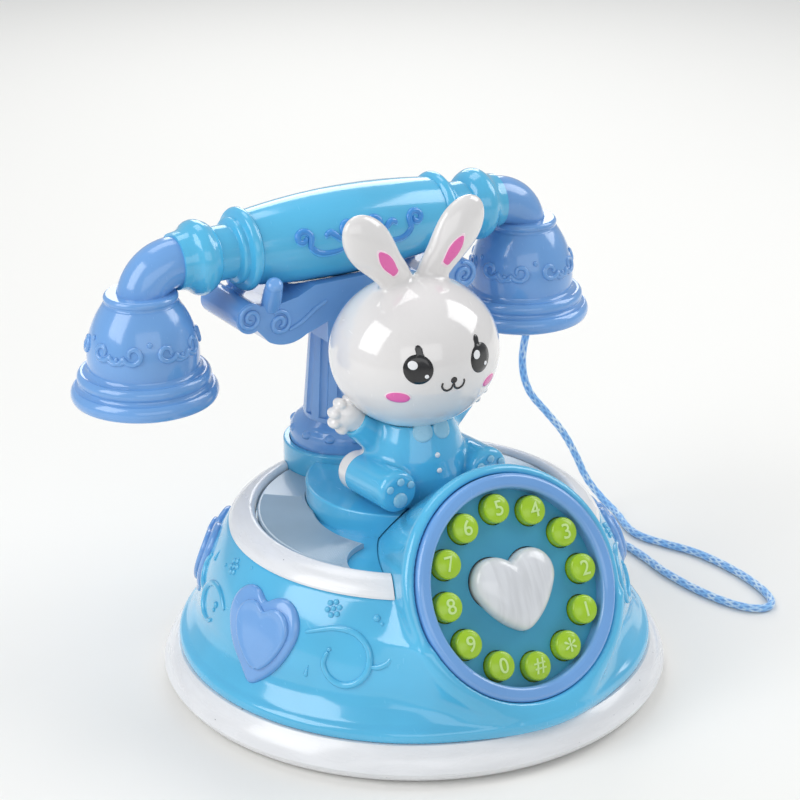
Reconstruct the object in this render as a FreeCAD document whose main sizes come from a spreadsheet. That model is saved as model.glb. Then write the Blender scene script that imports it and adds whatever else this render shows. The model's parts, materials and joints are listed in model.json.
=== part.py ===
import FreeCAD, Part

# A toy desk telephone with a rabbit: a domed base with a round push-button dial, a mast with a
# scrolled cradle, a handset that lifts off the cradle, and a rope cord from its ear bell to the base.
# Millimetres. X is the telephone's right seen from the front, -Y is the front, +Z is up, and the
# origin is the middle of the foot ring's underside.
import math
import os
import re

import Sketcher
from FreeCAD import Placement, Rotation, Vector

SIZES = {
    # base
    "base_radius": 90, "foot_height": 13, "foot_top_radius": 84.8, "foot_bore": 77, "wall": 2.2,
    "rim_radius": 84.4, "rim_height": 4, "dome_foot_radius": 79.6, "dome_foot_height": 20.6,
    "dome_waist_radius": 76.6, "dome_waist_height": 27, "dome_bulge": 58,
    "shoulder_radius": 65.5, "shoulder_height": 56.4, "deck_radius": 56.15, "shoulder_top": 62.3,
    "deck_height": 58.6, "deck_thickness": 1.6, "gap": 0.3,
    "platform_radius": 32.9, "platform_y": 11, "platform_top": 67.5,
    "cup_radius": 21.9, "cup_top": 70.1, "cup_foot": 45, "cup_floor": 66,
    "lens_radius": 55.4, "lens_bore": 35.6, "lens_top": 60.8, "lens_foot": 58.7,
    "boss_x": 27.5, "boss_y": -34.5, "boss_radius": 17.8,
    # dial
    "dial_y": -63.96, "dial_z": 55.59, "dial_tilt": 61.61,
    "drum_radius": 42.3, "drum_back_radius": 34.6, "drum_depth": 46, "drum_round": 2.5,
    "bezel_radius": 38.2, "bezel_bore": 33, "bezel_top": 2,
    "dial_face": -3, "dial_thickness": 2, "key_circle": 27, "key_radius": 4.95, "key_hole": 5.35,
    "key_flange": 6.1, "key_top": 1.6, "key_count": 12, "flange_thickness": 1.1,
    "heart_width": 32, "heart_flange": 36, "heart_top": 3.4, "heart_crown": 34,
    "membrane_radius": 36, "membrane_top": -8.2, "membrane_thickness": 1.4,
    "dial_board_top": -9.9, "board_thickness": 1.6,
    # heart plaques on the dome
    "plaque_width": 33, "plaque_drop": 29, "plaque_side": 122, "plaque_thickness": 3,
    "plaque_z": 43.5, "plaque_azimuth": 74, "plaque_rear_azimuth": 131,
    # inside the base
    "plate_radius": 76.7, "plate_thickness": 2.2, "battery_radius": 7.1, "battery_length": 50,
    "battery_x": -34, "battery_y": 22, "battery_pitch": 15.6, "battery_z": 13.2,
    "speaker_radius": 20, "speaker_height": 14, "speaker_x": 34, "speaker_y": 26,
    "screw_circle": 71.5, "grommet_radius": 4.4,
    # mast and cradle
    "mast_y": 49.3, "mast_foot_radius": 14.3, "mast_top_radius": 11.7, "mast_top": 113,
    "mast_collar_radius": 19.4, "mast_collar_top": 78.5, "flutes": 12, "flute_radius": 2.2,
    "cradle_depth": 13.3, "cradle_top": 135.5, "cradle_roll_x": 44, "cradle_roll_z": 128,
    "cradle_roll": 5.5, "prong_radius": 3.4, "saddle_clearance": 0.5,
    # handset
    "handset_z": 149, "barrel_radius": 15.9, "barrel_end_radius": 13.2, "barrel_end": 37.6,
    "flange_radius": 14.8, "flange_end": 43.2, "step_radius": 11.8, "neck_radius": 9.6,
    "neck_end": 51.5, "collar_radius": 13.2, "collar_x": 57.5, "grip_end": 66,
    "elbow_radius": 8.9, "elbow_bend": 12.7, "bell_x": 78.9, "bell_neck_radius": 12.5,
    "bell_neck_z": 139.5, "bell_body_radius": 19.3, "bell_body_z": 114.5, "bell_rim_radius": 25.9,
    "bell_rim_z": 105, "bell_foot_z": 101.4, "cap_radius": 22.6, "shell_wall": 1.8,
    # rabbit
    "head_width": 30, "head_depth": 28, "head_height": 26.4, "head_z": 119.5,
    "ear_half_width": 9.1, "ear_half_length": 18.4, "ear_half_depth": 4.2, "ear_lean": 38,
    "ear_x": 14.2, "ear_z": 155.5, "body_radius": 18.6, "neck_top": 97, "seam_y": 4,
    "leg_radius": 7.4, "leg_x": 18.6, "foot_y": -20.5, "leg_back_y": 9, "foot_z": 77.8, "hip_z": 75,
    "arm_radius": 6, "paw_radius": 5.2,
    # cord
    "cord_radius": 1.5, "relief_radius": 3.1, "relief_length": 8, "grommet_length": 10,
}

KEY_NAMES = ("5", "4", "3", "2", "1", "star", "hash", "0", "9", "8", "7", "6")
BASE_SCREW_TURNS = (20, 85, 150, 215, 325)
MAST_SCREW_TURNS = (45, 135, 225, 315)
SIDES = (("left", -1), ("right", 1))

# The rope, as the corners of its route: out of the ear bell, down behind it, over the floor to a
# loop, and round the back of the dome to the grommet. The run CORD_SPLIT is where it is shared
# between the handset, which lifts the first stretch, and the base.
CORD_ROUTE = [
    (93.6, 60.0, 131.5), (100, 64.5, 133.5), (106.5, 69, 129), (109, 71, 118), (106.5, 71.5, 105),
    (101, 71, 93), (96, 70.5, 81.5), (94.5, 70, 70), (98, 70, 58.5), (107, 70, 48), (116, 70, 37),
    (123, 70.5, 25), (128, 70, 13.5), (133.5, 65.5, 4.5), (134, 55, 1.6), (129.5, 44, 1.6),
    (128.5, 34, 1.6), (133, 23, 1.6), (138.5, 11, 1.6), (141, -4, 1.6), (141, -20, 1.6),
    (139, -33, 1.6), (134.5, -41.5, 1.6), (126.5, -40.5, 1.6), (121, -30, 1.6), (118, -15, 1.6),
    (117, 3, 1.6), (119, 20, 1.6), (119, 38, 1.6), (112, 54, 1.6), (100, 68, 1.6), (85, 81.5, 1.6),
    (68, 93, 1.6), (49, 101.5, 1.6), (31, 104.5, 2.6), (17, 101, 9), (10, 95.5, 18.5), (8, 89.5, 26.5),
    (7.5, 81.5, 31),
]
CORD_SPLIT = 4

DOC = FreeCAD.newDocument("toy_telephone")
SHEET = DOC.addObject("Spreadsheet::Sheet", "Sizes")
PARTS = {}


def fill_sheet():
    """Write every driving size into its own cell, under its own alias."""
    for row, (alias, number) in enumerate(SIZES.items(), 1):
        SHEET.set(f"A{row}", alias)
        SHEET.set(f"B{row}", str(number))
        SHEET.setAlias(f"B{row}", alias)
    DOC.recompute()


def value(text):
    """The present value of an expression in the sheet's aliases."""
    return float(SHEET.evalExpression(str(text)))


def bound(text):
    """The same expression, as an object outside the sheet has to write it."""
    return re.sub(r"[a-z][a-z_]+", lambda word: f"Sizes.{word[0]}" if word[0] in SIZES else word[0],
                  str(text))


def bind(item, prop, text):
    """Hold a property at an expression's value."""
    item.setExpression(prop, bound(text))


def place(item, x="0", y="0", z="0", axis=None, angle="0"):
    """Place an object by expressions, turned about one axis."""
    turn = Rotation(axis, value(angle)) if axis else Rotation()
    item.Placement = Placement(Vector(value(x), value(y), value(z)), turn)
    for name, text in (("x", x), ("y", y), ("z", z)):
        bind(item, f".Placement.Base.{name}", text)
    if axis:
        bind(item, ".Placement.Rotation.Angle", angle)
    return item


def place_on_dial(item, across="0", up="0", out="0"):
    """Place an object in the dial's frame: across is X, up lies in its face, out is its normal."""
    y = f"dial_y + ({up}) * cos(dial_tilt) - ({out}) * sin(dial_tilt)"
    z = f"dial_z + ({up}) * sin(dial_tilt) + ({out}) * cos(dial_tilt)"
    return place(item, across, y, z, Vector(1, 0, 0), "dial_tilt")


def keep(label, item):
    """Name a finished sub-part."""
    item.Label = label
    PARTS[label] = item
    return item


# ---------------------------------------------------------------- sketches and bodies

def new_body(label):
    """An empty PartDesign body."""
    body = DOC.addObject("PartDesign::Body", label)
    body.Label = label
    return body


def new_sketch(body, role, offset=None):
    """A sketch on one of the body's own origin planes."""
    sketch = body.newObject("Sketcher::SketchObject", "Outline")
    plane = next(item for item in body.Origin.OriginFeatures if item.Role == role)
    sketch.AttachmentSupport = (plane, [""])
    sketch.MapMode = "FlatFace"
    if offset:
        sketch.AttachmentOffset = Placement(Vector(0, 0, value(offset)), Rotation())
        bind(sketch, ".AttachmentOffset.Base.z", offset)
    return sketch


def hold(sketch, kind, edge, corner, text):
    """Hold one coordinate of a point at an expression's value."""
    number = value(text)
    if abs(number) < 1e-9:
        axis = -2 if kind == "DistanceX" else -1
        sketch.addConstraint(Sketcher.Constraint("PointOnObject", edge, corner, axis))
        return
    index = sketch.addConstraint(Sketcher.Constraint(kind, -1, 1, edge, corner, number))
    bind(sketch, f"Constraints[{index}]", text)


def hold_radius(sketch, edge, text):
    """Hold an arc's or circle's radius at an expression's value."""
    index = sketch.addConstraint(Sketcher.Constraint("Radius", edge, value(text)))
    bind(sketch, f"Constraints[{index}]", text)


def arc_between(here, there, radius, turn):
    """The shorter arc from here to there, turning left (1) or right (-1)."""
    chord = there - here
    rise = math.sqrt(max(radius ** 2 - (chord.Length / 2) ** 2, 0))
    left = Vector(-chord.y, chord.x, 0).normalize()
    centre = (here + there) * 0.5 + left * rise * turn
    ends = (here, there) if turn > 0 else (there, here)
    first, last = (math.atan2(p.y - centre.y, p.x - centre.x) for p in ends)
    if last < first:
        last += 2 * math.pi
    return Part.ArcOfCircle(Part.Circle(centre, Vector(0, 0, 1), radius), first, last)


def outline(sketch, corners):
    """A closed outline. A corner is (x, y), and (x, y, radius, turn) where the edge after it is an arc."""
    spots = [Vector(value(corner[0]), value(corner[1]), 0) for corner in corners]
    edges = []
    for number, corner in enumerate(corners):
        here, there = spots[number], spots[(number + 1) % len(spots)]
        if len(corner) == 2:
            edge = sketch.addGeometry(Part.LineSegment(here, there), False)
            edges.append((edge, 1, 2))
        else:
            turn = corner[3]
            edge = sketch.addGeometry(arc_between(here, there, value(corner[2]), turn), False)
            edges.append((edge, 1, 2) if turn > 0 else (edge, 2, 1))
            hold_radius(sketch, edge, corner[2])
        hold(sketch, "DistanceX", edge, edges[-1][1], corner[0])
        hold(sketch, "DistanceY", edge, edges[-1][1], corner[1])
    for number, (edge, _, last) in enumerate(edges):
        after, first, _ = edges[(number + 1) % len(edges)]
        sketch.addConstraint(Sketcher.Constraint("Coincident", edge, last, after, first))


def turned(label, corners, axis="V_Axis"):
    """A body turned from an outline in the XZ plane, about Z (V_Axis) or about X (H_Axis)."""
    body = new_body(label)
    sketch = new_sketch(body, "XZ_Plane")
    outline(sketch, corners)
    feature = body.newObject("PartDesign::Revolution", "Turning")
    feature.Profile = (sketch, [""])
    feature.ReferenceAxis = (sketch, [axis])
    feature.Angle = 360
    return body


def pad(body, sketch, length):
    """Pad a sketch upward from its plane."""
    feature = body.newObject("PartDesign::Pad", "Pad")
    feature.Profile = (sketch, [""])
    feature.Length = value(length)
    bind(feature, "Length", length)
    return feature


def padded(label, length, draw, bottom=None):
    """A body padded from the outline that draw() makes in the XY plane."""
    body = new_body(label)
    sketch = new_sketch(body, "XY_Plane", bottom)
    draw(sketch)
    pad(body, sketch, length)
    return body


def cylinder(radius, height, x="0", y="0", z="0", axis=None, angle="0"):
    """A placed Part cylinder."""
    item = DOC.addObject("Part::Cylinder", "Cylinder")
    bind(item, "Radius", radius)
    bind(item, "Height", height)
    return place(item, x, y, z, axis, angle)


def box(length, width, height, x, y, z):
    """A Part box from its lowest corner."""
    item = DOC.addObject("Part::Box", "Box")
    bind(item, "Length", length)
    bind(item, "Width", width)
    bind(item, "Height", height)
    return place(item, x, y, z)


def ball(radius, x, y, z):
    """A Part sphere."""
    item = DOC.addObject("Part::Sphere", "Sphere")
    bind(item, "Radius", radius)
    return place(item, x, y, z)


def cut(base, *tools):
    """The base less one tool after another."""
    for tool in tools:
        item = DOC.addObject("Part::Cut", "Cut")
        item.Base = base
        item.Tool = tool
        base = item
    return base


def fuse(*items):
    """Several overlapping shapes as one."""
    item = DOC.addObject("Part::MultiFuse", "Fuse")
    item.Shapes = list(items)
    item.Refine = True
    return item


def common(first, second):
    """What two shapes share."""
    item = DOC.addObject("Part::Common", "Common")
    item.Base = first
    item.Tool = second
    return item


def group(*items):
    """Separate solids kept together as one node."""
    item = DOC.addObject("Part::Compound", "Group")
    item.Links = list(items)
    return item


def mirrored(right):
    """A closed outline from its right side, whose first and last corners lie on the middle line."""
    left = []
    for number in range(len(right) - 1, 0, -1):
        x, y = right[number][:2]
        middle = number == len(right) - 1
        left.append((x if middle else f"-({x})", y, *right[number - 1][2:]))
    return right[:-1] + left


def along(item, start, end):
    """Turn an object made along Z from its origin so that it runs from one point towards another."""
    here, there = Vector(*start), Vector(*end)
    item.Placement = Placement(here, Rotation(Vector(0, 0, 1), there - here))
    return item


def pins(radius, height, circle_radius, turns, x="0", y="0", z="0"):
    """Upright cylinders round a circle, for screws or for their holes."""
    return group(*[cylinder(radius, height, f"{x} + {circle_radius} * cos({turn})",
                            f"{y} + {circle_radius} * sin({turn})", z) for turn in turns])


def heart(width, drop, side, slant):
    """A heart's outline: two round lobes at y = 0 and two long arcs down to a point at y = -drop."""
    lobe = f"0.27 * ({width})"
    lobe_x = f"0.23 * ({width})"
    notch = f"0.1414 * ({width})"
    side_x = f"{lobe_x} + {lobe} * cos({slant})"
    side_y = f"-{lobe} * sin({slant})"
    return [("0", notch, lobe, -1), (lobe_x, lobe, lobe, -1), (side_x, side_y, side, -1),
            ("0", f"-({drop})", side, -1), (f"-({side_x})", side_y, lobe, -1),
            (f"-({lobe_x})", lobe, lobe, -1)]


# ---------------------------------------------------------------- base

def dome_corners(inset):
    """Half of the dome's outline, drawn in by an inset."""
    top = f"shoulder_height - {inset}"
    return [("0", "foot_height"), (f"rim_radius - {inset}", "foot_height"),
            (f"rim_radius - {inset}", "foot_height + rim_height", "4.5", 1),
            (f"dome_foot_radius + 1.2 - {inset}", "dome_foot_height"),
            (f"dome_foot_radius - {inset}", "dome_foot_height", "11", -1),
            (f"dome_waist_radius - {inset}", "dome_waist_height", "dome_bulge", 1),
            (f"shoulder_radius - {inset}", top), ("0", top)]


def drum_corners(inset, front="0"):
    """Half of the dial drum's outline in the dial's frame, drawn in by an inset."""
    return [("0", "-drum_depth"), (f"drum_back_radius - {inset}", "-drum_depth"),
            (f"drum_radius - {inset}", f"{front} - drum_round", "drum_round", 1),
            (f"drum_radius - drum_round - {inset}", front), ("0", front)]


def drum_tool(clearance):
    """The drum's outside with a clearance, to cut what meets it."""
    body = turned("DrumTool", drum_corners(f"-({clearance})", "drum_round"))
    return place_on_dial(body)


def cup_tool(clearance):
    """The mast cup's outside with a clearance."""
    return cylinder(f"cup_radius + {clearance}", "60", "0", "mast_y", "cup_foot - 10")


def make_foot_ring():
    """The white ring that the telephone stands on."""
    keep("foot_ring", turned("foot_ring", [
        ("foot_bore", "0"), ("base_radius - 6", "0", "8", 1), ("base_radius", "5", "16", 1),
        ("foot_top_radius", "foot_height"), ("foot_top_radius - wall - 1", "foot_height"),
        ("base_radius - wall - 1.6", "6", "5", -1), ("base_radius - wall - 5", "wall"),
        ("foot_bore", "wall")]))


def make_base_shell():
    """The blue dome and dial drum in one hollow moulding, open below, at the dial and at the deck."""
    outside = fuse(turned("DomeOutside", dome_corners("0")), drum_tool("0"))
    dial_hole = place_on_dial(cylinder("bezel_radius + 0.05", "12"), out="-9")
    deck_hole = cut(cylinder("deck_radius", "40", z="50"), drum_tool("0"))
    drum_inside = place_on_dial(turned("DrumInside", drum_corners("wall", "-wall")))
    below = cylinder("rim_radius - wall", "foot_height + 1", z="-1")
    shell = cut(outside, turned("DomeInside", dome_corners("wall")), drum_inside, dial_hole,
                deck_hole, below, cup_tool("0.15"))
    posts = pins("4", "26", "screw_circle", BASE_SCREW_TURNS, z="3.8")
    keep("base_shell", cut(fuse(shell, posts), base_screw_pins()))


def make_shoulder_ring():
    """The white band round the deck, stopped by the dial drum and the mast cup."""
    ring = turned("ShoulderRing", [
        ("deck_radius", "shoulder_height"), ("shoulder_radius", "shoulder_height"),
        ("shoulder_radius", "shoulder_height + 0.8", "11", 1), ("deck_radius + 2", "shoulder_top", "2", 1),
        ("deck_radius", "shoulder_top - 1.6")])
    keep("shoulder_ring", cut(ring, drum_tool("gap"), cup_tool("0.15")))


def make_top_deck():
    """The deck, the rabbit's platform and the cup that the mast stands in, one blue moulding."""
    deck = cylinder("deck_radius - 0.1", "deck_thickness", z="deck_height - deck_thickness")
    platform = turned("Platform", [
        ("0", "deck_height - 1"), ("platform_radius", "deck_height - 1"),
        ("platform_radius", "platform_top - 0.8", "0.8", 1), ("platform_radius - 0.8", "platform_top"),
        ("0", "platform_top")])
    place(platform, y="platform_y")
    hollow = place(turned("PlatformInside", [
        ("0", "deck_height - 3"), ("platform_radius - wall", "deck_height - 3"),
        ("platform_radius - wall", "platform_top - wall"), ("0", "platform_top - wall")]),
        y="platform_y")
    cup = turned("Cup", [
        ("0", "cup_foot"), ("cup_radius", "cup_foot"), ("cup_radius", "cup_top - 0.8", "0.8", 1),
        ("cup_radius - 0.8", "cup_top"), ("cup_radius - wall", "cup_top"),
        ("cup_radius - wall", "cup_floor"), ("0", "cup_floor")])
    place(cup, y="mast_y")
    cup_hollow = cylinder("cup_radius - wall", "cup_floor - wall - cup_foot + 1", y="mast_y",
                          z="cup_foot - 1")
    whole = cut(fuse(deck, platform, cup), hollow, cup_hollow, drum_tool("gap"))
    windows = [cylinder("4", "10", f"{sign} * 46", "10", "deck_height - 5") for _, sign in SIDES]
    keep("top_deck", cut(whole, cylinder("cup_radius - wall", "10", y="mast_y", z="cup_floor"),
                         group(*windows), mast_screw_pins()))


def make_lenses():
    """The two frosted crescents that the lights shine through."""
    for side, sign in SIDES:
        ring = turned("LensRing", [
            ("lens_bore", "lens_foot"), ("lens_radius", "lens_foot"), ("lens_radius", "lens_top - 0.5"),
            ("lens_radius - 0.5", "lens_top"), ("lens_bore + 0.5", "lens_top"),
            ("lens_bore", "lens_top - 0.5")])
        half = common(ring, box("100", "200", "20", f"{min(sign, 0)} * 100", "-100", "50"))
        boss = cylinder("boss_radius", "20", f"{sign} * boss_x", "boss_y", "50")
        platform = cylinder("platform_radius + 0.3", "20", y="platform_y", z="50")
        keep(f"light_lens_{side}", cut(half, boss, platform, cup_tool("0.3"), drum_tool("0.5")))


def make_heart_plaques():
    """Four periwinkle hearts that follow the dome, two each side."""
    for row, azimuth in (("front", "plaque_azimuth"), ("rear", "plaque_rear_azimuth")):
        for side, sign in SIDES:
            skin = cut(turned("PlaqueSkin", dome_corners("-plaque_thickness")),
                       turned("PlaqueSeat", dome_corners("-0.02")))
            block = padded("PlaqueBlock", "40", lambda sketch: outline(
                sketch, heart("plaque_width", "plaque_drop", "plaque_side", "25")), "50")
            turn = Rotation(Vector(0, 0, 1), value(azimuth) * sign) * Rotation(Vector(1, 0, 0), 90)
            block.Placement = Placement(Vector(0, 0, value("plaque_z")), turn)
            bind(block, ".Placement.Base.z", "plaque_z")
            keep(f"heart_plaque_{row}_{side}", common(skin, block))


def base_screw_pins():
    """The six screws that hold the bottom cover, or their holes."""
    return pins("1.4", "9", "screw_circle", BASE_SCREW_TURNS, z="1.2")


def mast_screw_pins():
    """The four screws that hold the mast in its cup, or their holes."""
    return pins("1.5", "10", "13", MAST_SCREW_TURNS, y="mast_y", z="cup_floor - 8")


def make_bottom():
    """The bottom cover with its battery lid, its screws and the power switch."""
    lid_x, lid_y = "battery_x - 1", "battery_y"
    width, length = "(3 * battery_pitch + 3)", "(battery_length + 12)"
    opening = box(width, length, "10", f"{lid_x} - 0.5 * {width}", f"{lid_y} - 0.5 * {length}", "0")
    slot = box("7", "17", "8", "39.5", "-46", "0")
    keep("base_plate", cut(cylinder("plate_radius", "plate_thickness", z="1.4"), opening, slot,
                           base_screw_pins()))
    keep("battery_cover", box(f"{width} - 0.6", f"{length} - 0.6", "plate_thickness - 0.4",
                              f"{lid_x} - 0.5 * {width} + 0.3", f"{lid_y} - 0.5 * {length} + 0.3", "1.6"))
    keep("base_screws", base_screw_pins())
    keep("power_switch", box("6", "9", "3.2", "40", "-38.3", "0.9"))


def make_base_inside():
    """The cells and their contacts, the speaker, the main board and the two lights."""
    cells = []
    contacts = []
    for step in (-1, 0, 1):
        x = f"(battery_x + {step} * battery_pitch - 1)"
        end = "battery_y + 0.5 * battery_length"
        case = cylinder("battery_radius", "battery_length - 1.5", x, end, "battery_z", Vector(1, 0, 0), "90")
        rod = cylinder("2.7", "battery_length", x, end, "battery_z", Vector(1, 0, 0), "90")
        cells.append(fuse(case, rod))
        for way in (-1, 1):
            contacts.append(box("9", "0.5", "9", f"{x} - 4.5",
                                f"battery_y + {way} * (0.5 * battery_length + 0.4) - 0.25",
                                "battery_z - 4.5"))
    keep("batteries", group(*cells))
    keep("battery_contacts", group(*contacts))
    speaker = turned("Speaker", [
        ("0", "0"), ("speaker_radius", "0"), ("speaker_radius", "3"), ("0.55 * speaker_radius", "8"),
        ("0.55 * speaker_radius", "speaker_height"), ("0", "speaker_height")])
    keep("speaker", place(speaker, "speaker_x", "speaker_y", "plate_thickness + 1.6"))
    keep("main_board", box("42", "24", "board_thickness", "6", "-22", "20"))
    keep("light_diodes", group(*[cylinder("2.5", "6", f"{sign} * 46", "10", "50") for _, sign in SIDES]))


# ---------------------------------------------------------------- dial

def on_circle(angle):
    """Across and up of a place on the key circle, clockwise from the top."""
    return f"key_circle * sin({angle})", f"key_circle * cos({angle})"


def heart_on_dial(sketch, width, raise_by=0.106):
    """The heart button's outline, its lobes' centres a little above the dial's middle."""
    corners = heart(width, "0.575 * heart_width", "2.3 * heart_width", "40")
    outline(sketch, [(corner[0], f"{corner[1]} + {raise_by} * heart_width", *corner[2:])
                     for corner in corners])


def make_dial():
    """The bezel, the pierced dial plate, the rubber membrane and the dial's board."""
    ring = turned("dial_ring", [
        ("bezel_bore", "dial_face"), ("bezel_radius", "dial_face"), ("bezel_radius", "0.4", "1.8", 1),
        ("bezel_radius - 1.6", "bezel_top", "30", 1), ("bezel_bore + 1.6", "bezel_top", "1.8", 1),
        ("bezel_bore", "0.4")])
    keep("dial_ring", place_on_dial(ring))
    plate = cylinder("bezel_radius - 0.1", "dial_thickness")
    place_on_dial(plate, out="dial_face - dial_thickness")
    holes = []
    for number in range(int(value("key_count"))):
        across, up = on_circle(30 * number)
        holes.append(place_on_dial(cylinder("key_hole", "8"), across, up, "dial_face - 5"))
    heart_hole = padded("HeartHole", "8", lambda sketch: heart_on_dial(sketch, "heart_width + 0.8"),
                        "dial_face - 5")
    keep("dial_plate", cut(plate, fuse(*holes), place_on_dial(heart_hole)))
    keep("keypad_membrane", place_on_dial(cylinder("membrane_radius", "membrane_thickness"),
                                          out="membrane_top - membrane_thickness"))
    keep("keypad_board", place_on_dial(cylinder("membrane_radius", "board_thickness"),
                                       out="dial_board_top - board_thickness"))


def make_keys():
    """Twelve domed push buttons, each with a flange that holds it behind the dial plate."""
    back = "dial_face - dial_thickness - 0.3"
    for number, name in enumerate(KEY_NAMES):
        across, up = on_circle(30 * number)
        key = turned(f"key_{name}", [
            ("0", f"{back} - flange_thickness"), ("key_flange", f"{back} - flange_thickness"),
            ("key_flange", back), ("key_radius", back), ("key_radius", "key_top - 1.9", "1.3", 1),
            ("key_radius - 1.2", "key_top - 0.6", "12", 1), ("1", "key_top"), ("0", "key_top")])
        keep(f"key_{name}", place_on_dial(key, across, up))


def make_heart_button():
    """The pearl heart in the middle of the dial, crowned, with a flange behind the plate."""
    back = "dial_face - dial_thickness - 0.3"
    stem = padded("HeartStem", f"heart_top - ({back}) + 1",
                  lambda sketch: heart_on_dial(sketch, "heart_width"), back)
    crown_edge = "heart_top - heart_crown + sqrt(heart_crown ^ 2 - 26 ^ 2)"
    crown = turned("HeartCrown", [("0", "-20"), ("60", "-20"), ("60", "-10"), ("26", crown_edge, "heart_crown", 1),
                                  ("0", "heart_top")])
    flange = padded("HeartFlange", "flange_thickness + 0.01",
                    lambda sketch: heart_on_dial(sketch, "heart_flange"), f"{back} - flange_thickness")
    button = fuse(common(stem, crown), flange)
    keep("heart_button", place_on_dial(button))


# ---------------------------------------------------------------- mast and cradle

def make_mast():
    """The fluted column, with a round foot that stands in the deck's cup."""
    column = turned("Column", [
        ("0", "cup_floor"), ("mast_collar_radius", "cup_floor"),
        ("mast_collar_radius", "cup_top + 3", "6", 1), ("mast_foot_radius + 2", "mast_collar_top"),
        ("mast_foot_radius", "mast_collar_top + 1.2"), ("mast_foot_radius", "mast_collar_top + 3"),
        ("mast_top_radius", "mast_top"), ("0", "mast_top")])
    place(column, y="mast_y")
    foot_z = "mast_collar_top + 3"
    lean = math.degrees(math.atan2(value("mast_foot_radius - mast_top_radius"),
                                   value(f"mast_top - ({foot_z})")))
    grooves = []
    for number in range(int(value("flutes"))):
        outward = Rotation(Vector(0, 0, 1), 360 * number / value("flutes"))
        foot = outward.multVec(Vector(value("mast_foot_radius + 1"), 0, 0))
        groove = DOC.addObject("Part::Cylinder", "Groove")
        bind(groove, "Radius", "flute_radius")
        bind(groove, "Height", "60")
        groove.Placement = Placement(Vector(foot.x, value("mast_y") + foot.y, value(foot_z)),
                                     outward * Rotation(Vector(0, 1, 0), -lean))
        grooves.append(groove)
    bore = cylinder("6.5", "60", y="mast_y", z="cup_floor - 1")
    keep("mast", cut(column, fuse(*grooves), bore, mast_screw_pins()))
    keep("mast_screws", mast_screw_pins())


def cradle_corners():
    """The cradle seen from the front: a hub and two arms that end in rolled scrolls."""
    return mirrored([
        ("0", "mast_top"), ("13.2", "mast_top"), ("13.2", "121"), ("22", "118", "14", 1), ("37", "118"),
        ("cradle_roll_x - 2.5", "cradle_roll_z - 4.9", "cradle_roll", 1),
        ("cradle_roll_x + 5.5", "cradle_roll_z", "cradle_roll", 1),
        ("cradle_roll_x", "cradle_roll_z + 5.5", "cradle_roll", 1),
        ("cradle_roll_x - 3.96", "cradle_roll_z + 3.82"), ("33.5", "131"), ("25", "132.5"),
        ("18", "cradle_top"), ("0", "cradle_top")])


def make_cradle():
    """Two half shells that carry the handset, with a prong at each corner, and the hook button."""
    for half, sign in (("front", -1), ("back", 1)):
        body = new_body(f"Cradle{half}")
        sketch = new_sketch(body, "XZ_Plane")
        outline(sketch, cradle_corners())
        pad(body, sketch, "cradle_depth")
        place(body, y="mast_y" if half == "front" else "mast_y + cradle_depth")
        prongs = []
        for _, side in SIDES:
            prong = turned("Prong", [
                ("0", "-2"), ("prong_radius - 1", "-2"), ("prong_radius", "0", "60", 1),
                ("prong_radius - 0.4", "10.8", "prong_radius - 1.2", 1),
                ("0.8", "10 + prong_radius"), ("0", "10 + prong_radius")])
            middle = value("mast_y")
            prongs.append(along(prong, (side * 35, middle + sign * 11.3, 130.5),
                                (side * 36.6, middle + sign * 17.8, 141)))
        well = cylinder("4.4", "40", y="mast_y", z="mast_top - 3")
        keep(f"cradle_{half}", cut(fuse(body, *prongs), handset_tool("saddle_clearance"), well))
    plunger = turned("hook_button", [
        ("0", "mast_top + 4"), ("4", "mast_top + 4"), ("4", "130.5", "2.4", 1), ("2.4", "132.4"),
        ("0", "132.8")])
    keep("hook_button", place(plunger, y="mast_y"))
    keep("hook_switch", box("6", "5", "4", "-3", "mast_y - 2.5", "mast_top - 4"))


# ---------------------------------------------------------------- handset

def grip_corners(inset):
    """The grip's outline above its long axis: barrel, flanges, necks and collars."""
    drop = "(barrel_radius - barrel_end_radius)"
    barrel = f"(barrel_end ^ 2 + {drop} ^ 2) / (2 * {drop})"
    return [corner if corner[1] == "0" else (corner[0], f"{corner[1]} - {inset}", *corner[2:])
            for corner in mirrored([
                ("0", "0"), ("grip_end", "0"), ("grip_end", "elbow_radius + 1"),
                ("collar_x + 6", "elbow_radius + 1.4", "6", -1),
                ("collar_x + 2.6", "collar_radius - 0.9", "4.6", 1),
                ("collar_x - 2.6", "collar_radius - 0.6", "6", 1), ("neck_end", "neck_radius"),
                ("flange_end + 2", "neck_radius"), ("flange_end + 1.4", "step_radius - 0.8", "1.2", 1),
                ("flange_end", "step_radius"), ("flange_end - 0.8", "step_radius"),
                ("flange_end - 1.6", "flange_radius - 0.7", "2.1", 1),
                ("barrel_end + 0.8", "flange_radius - 0.7", "2", 1), ("barrel_end", "flange_radius - 2.2"),
                ("barrel_end", "barrel_end_radius", barrel, 1), ("0", "barrel_radius")])]


def handset_tool(clearance):
    """The grip's outside with a clearance, to hollow the cradle's saddle."""
    return place(turned("GripTool", grip_corners(f"-({clearance})"), "H_Axis"), y="mast_y", z="handset_z")


def elbow(side, radius):
    """A quarter bend from the grip's end down to the bell's neck."""
    bend = DOC.addObject("Part::Torus", "Bend")
    bind(bend, "Radius1", "elbow_bend")
    bind(bend, "Radius2", radius)
    bend.Angle3 = 90
    turn = Rotation(Vector(0, 0, 1), Vector(side, 0, 0), Vector(0, side, 0), "XYZ")
    bend.Placement = Placement(Vector(side * value("grip_end"), value("mast_y"),
                                      value("handset_z - elbow_bend")), turn)
    return bend


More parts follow.
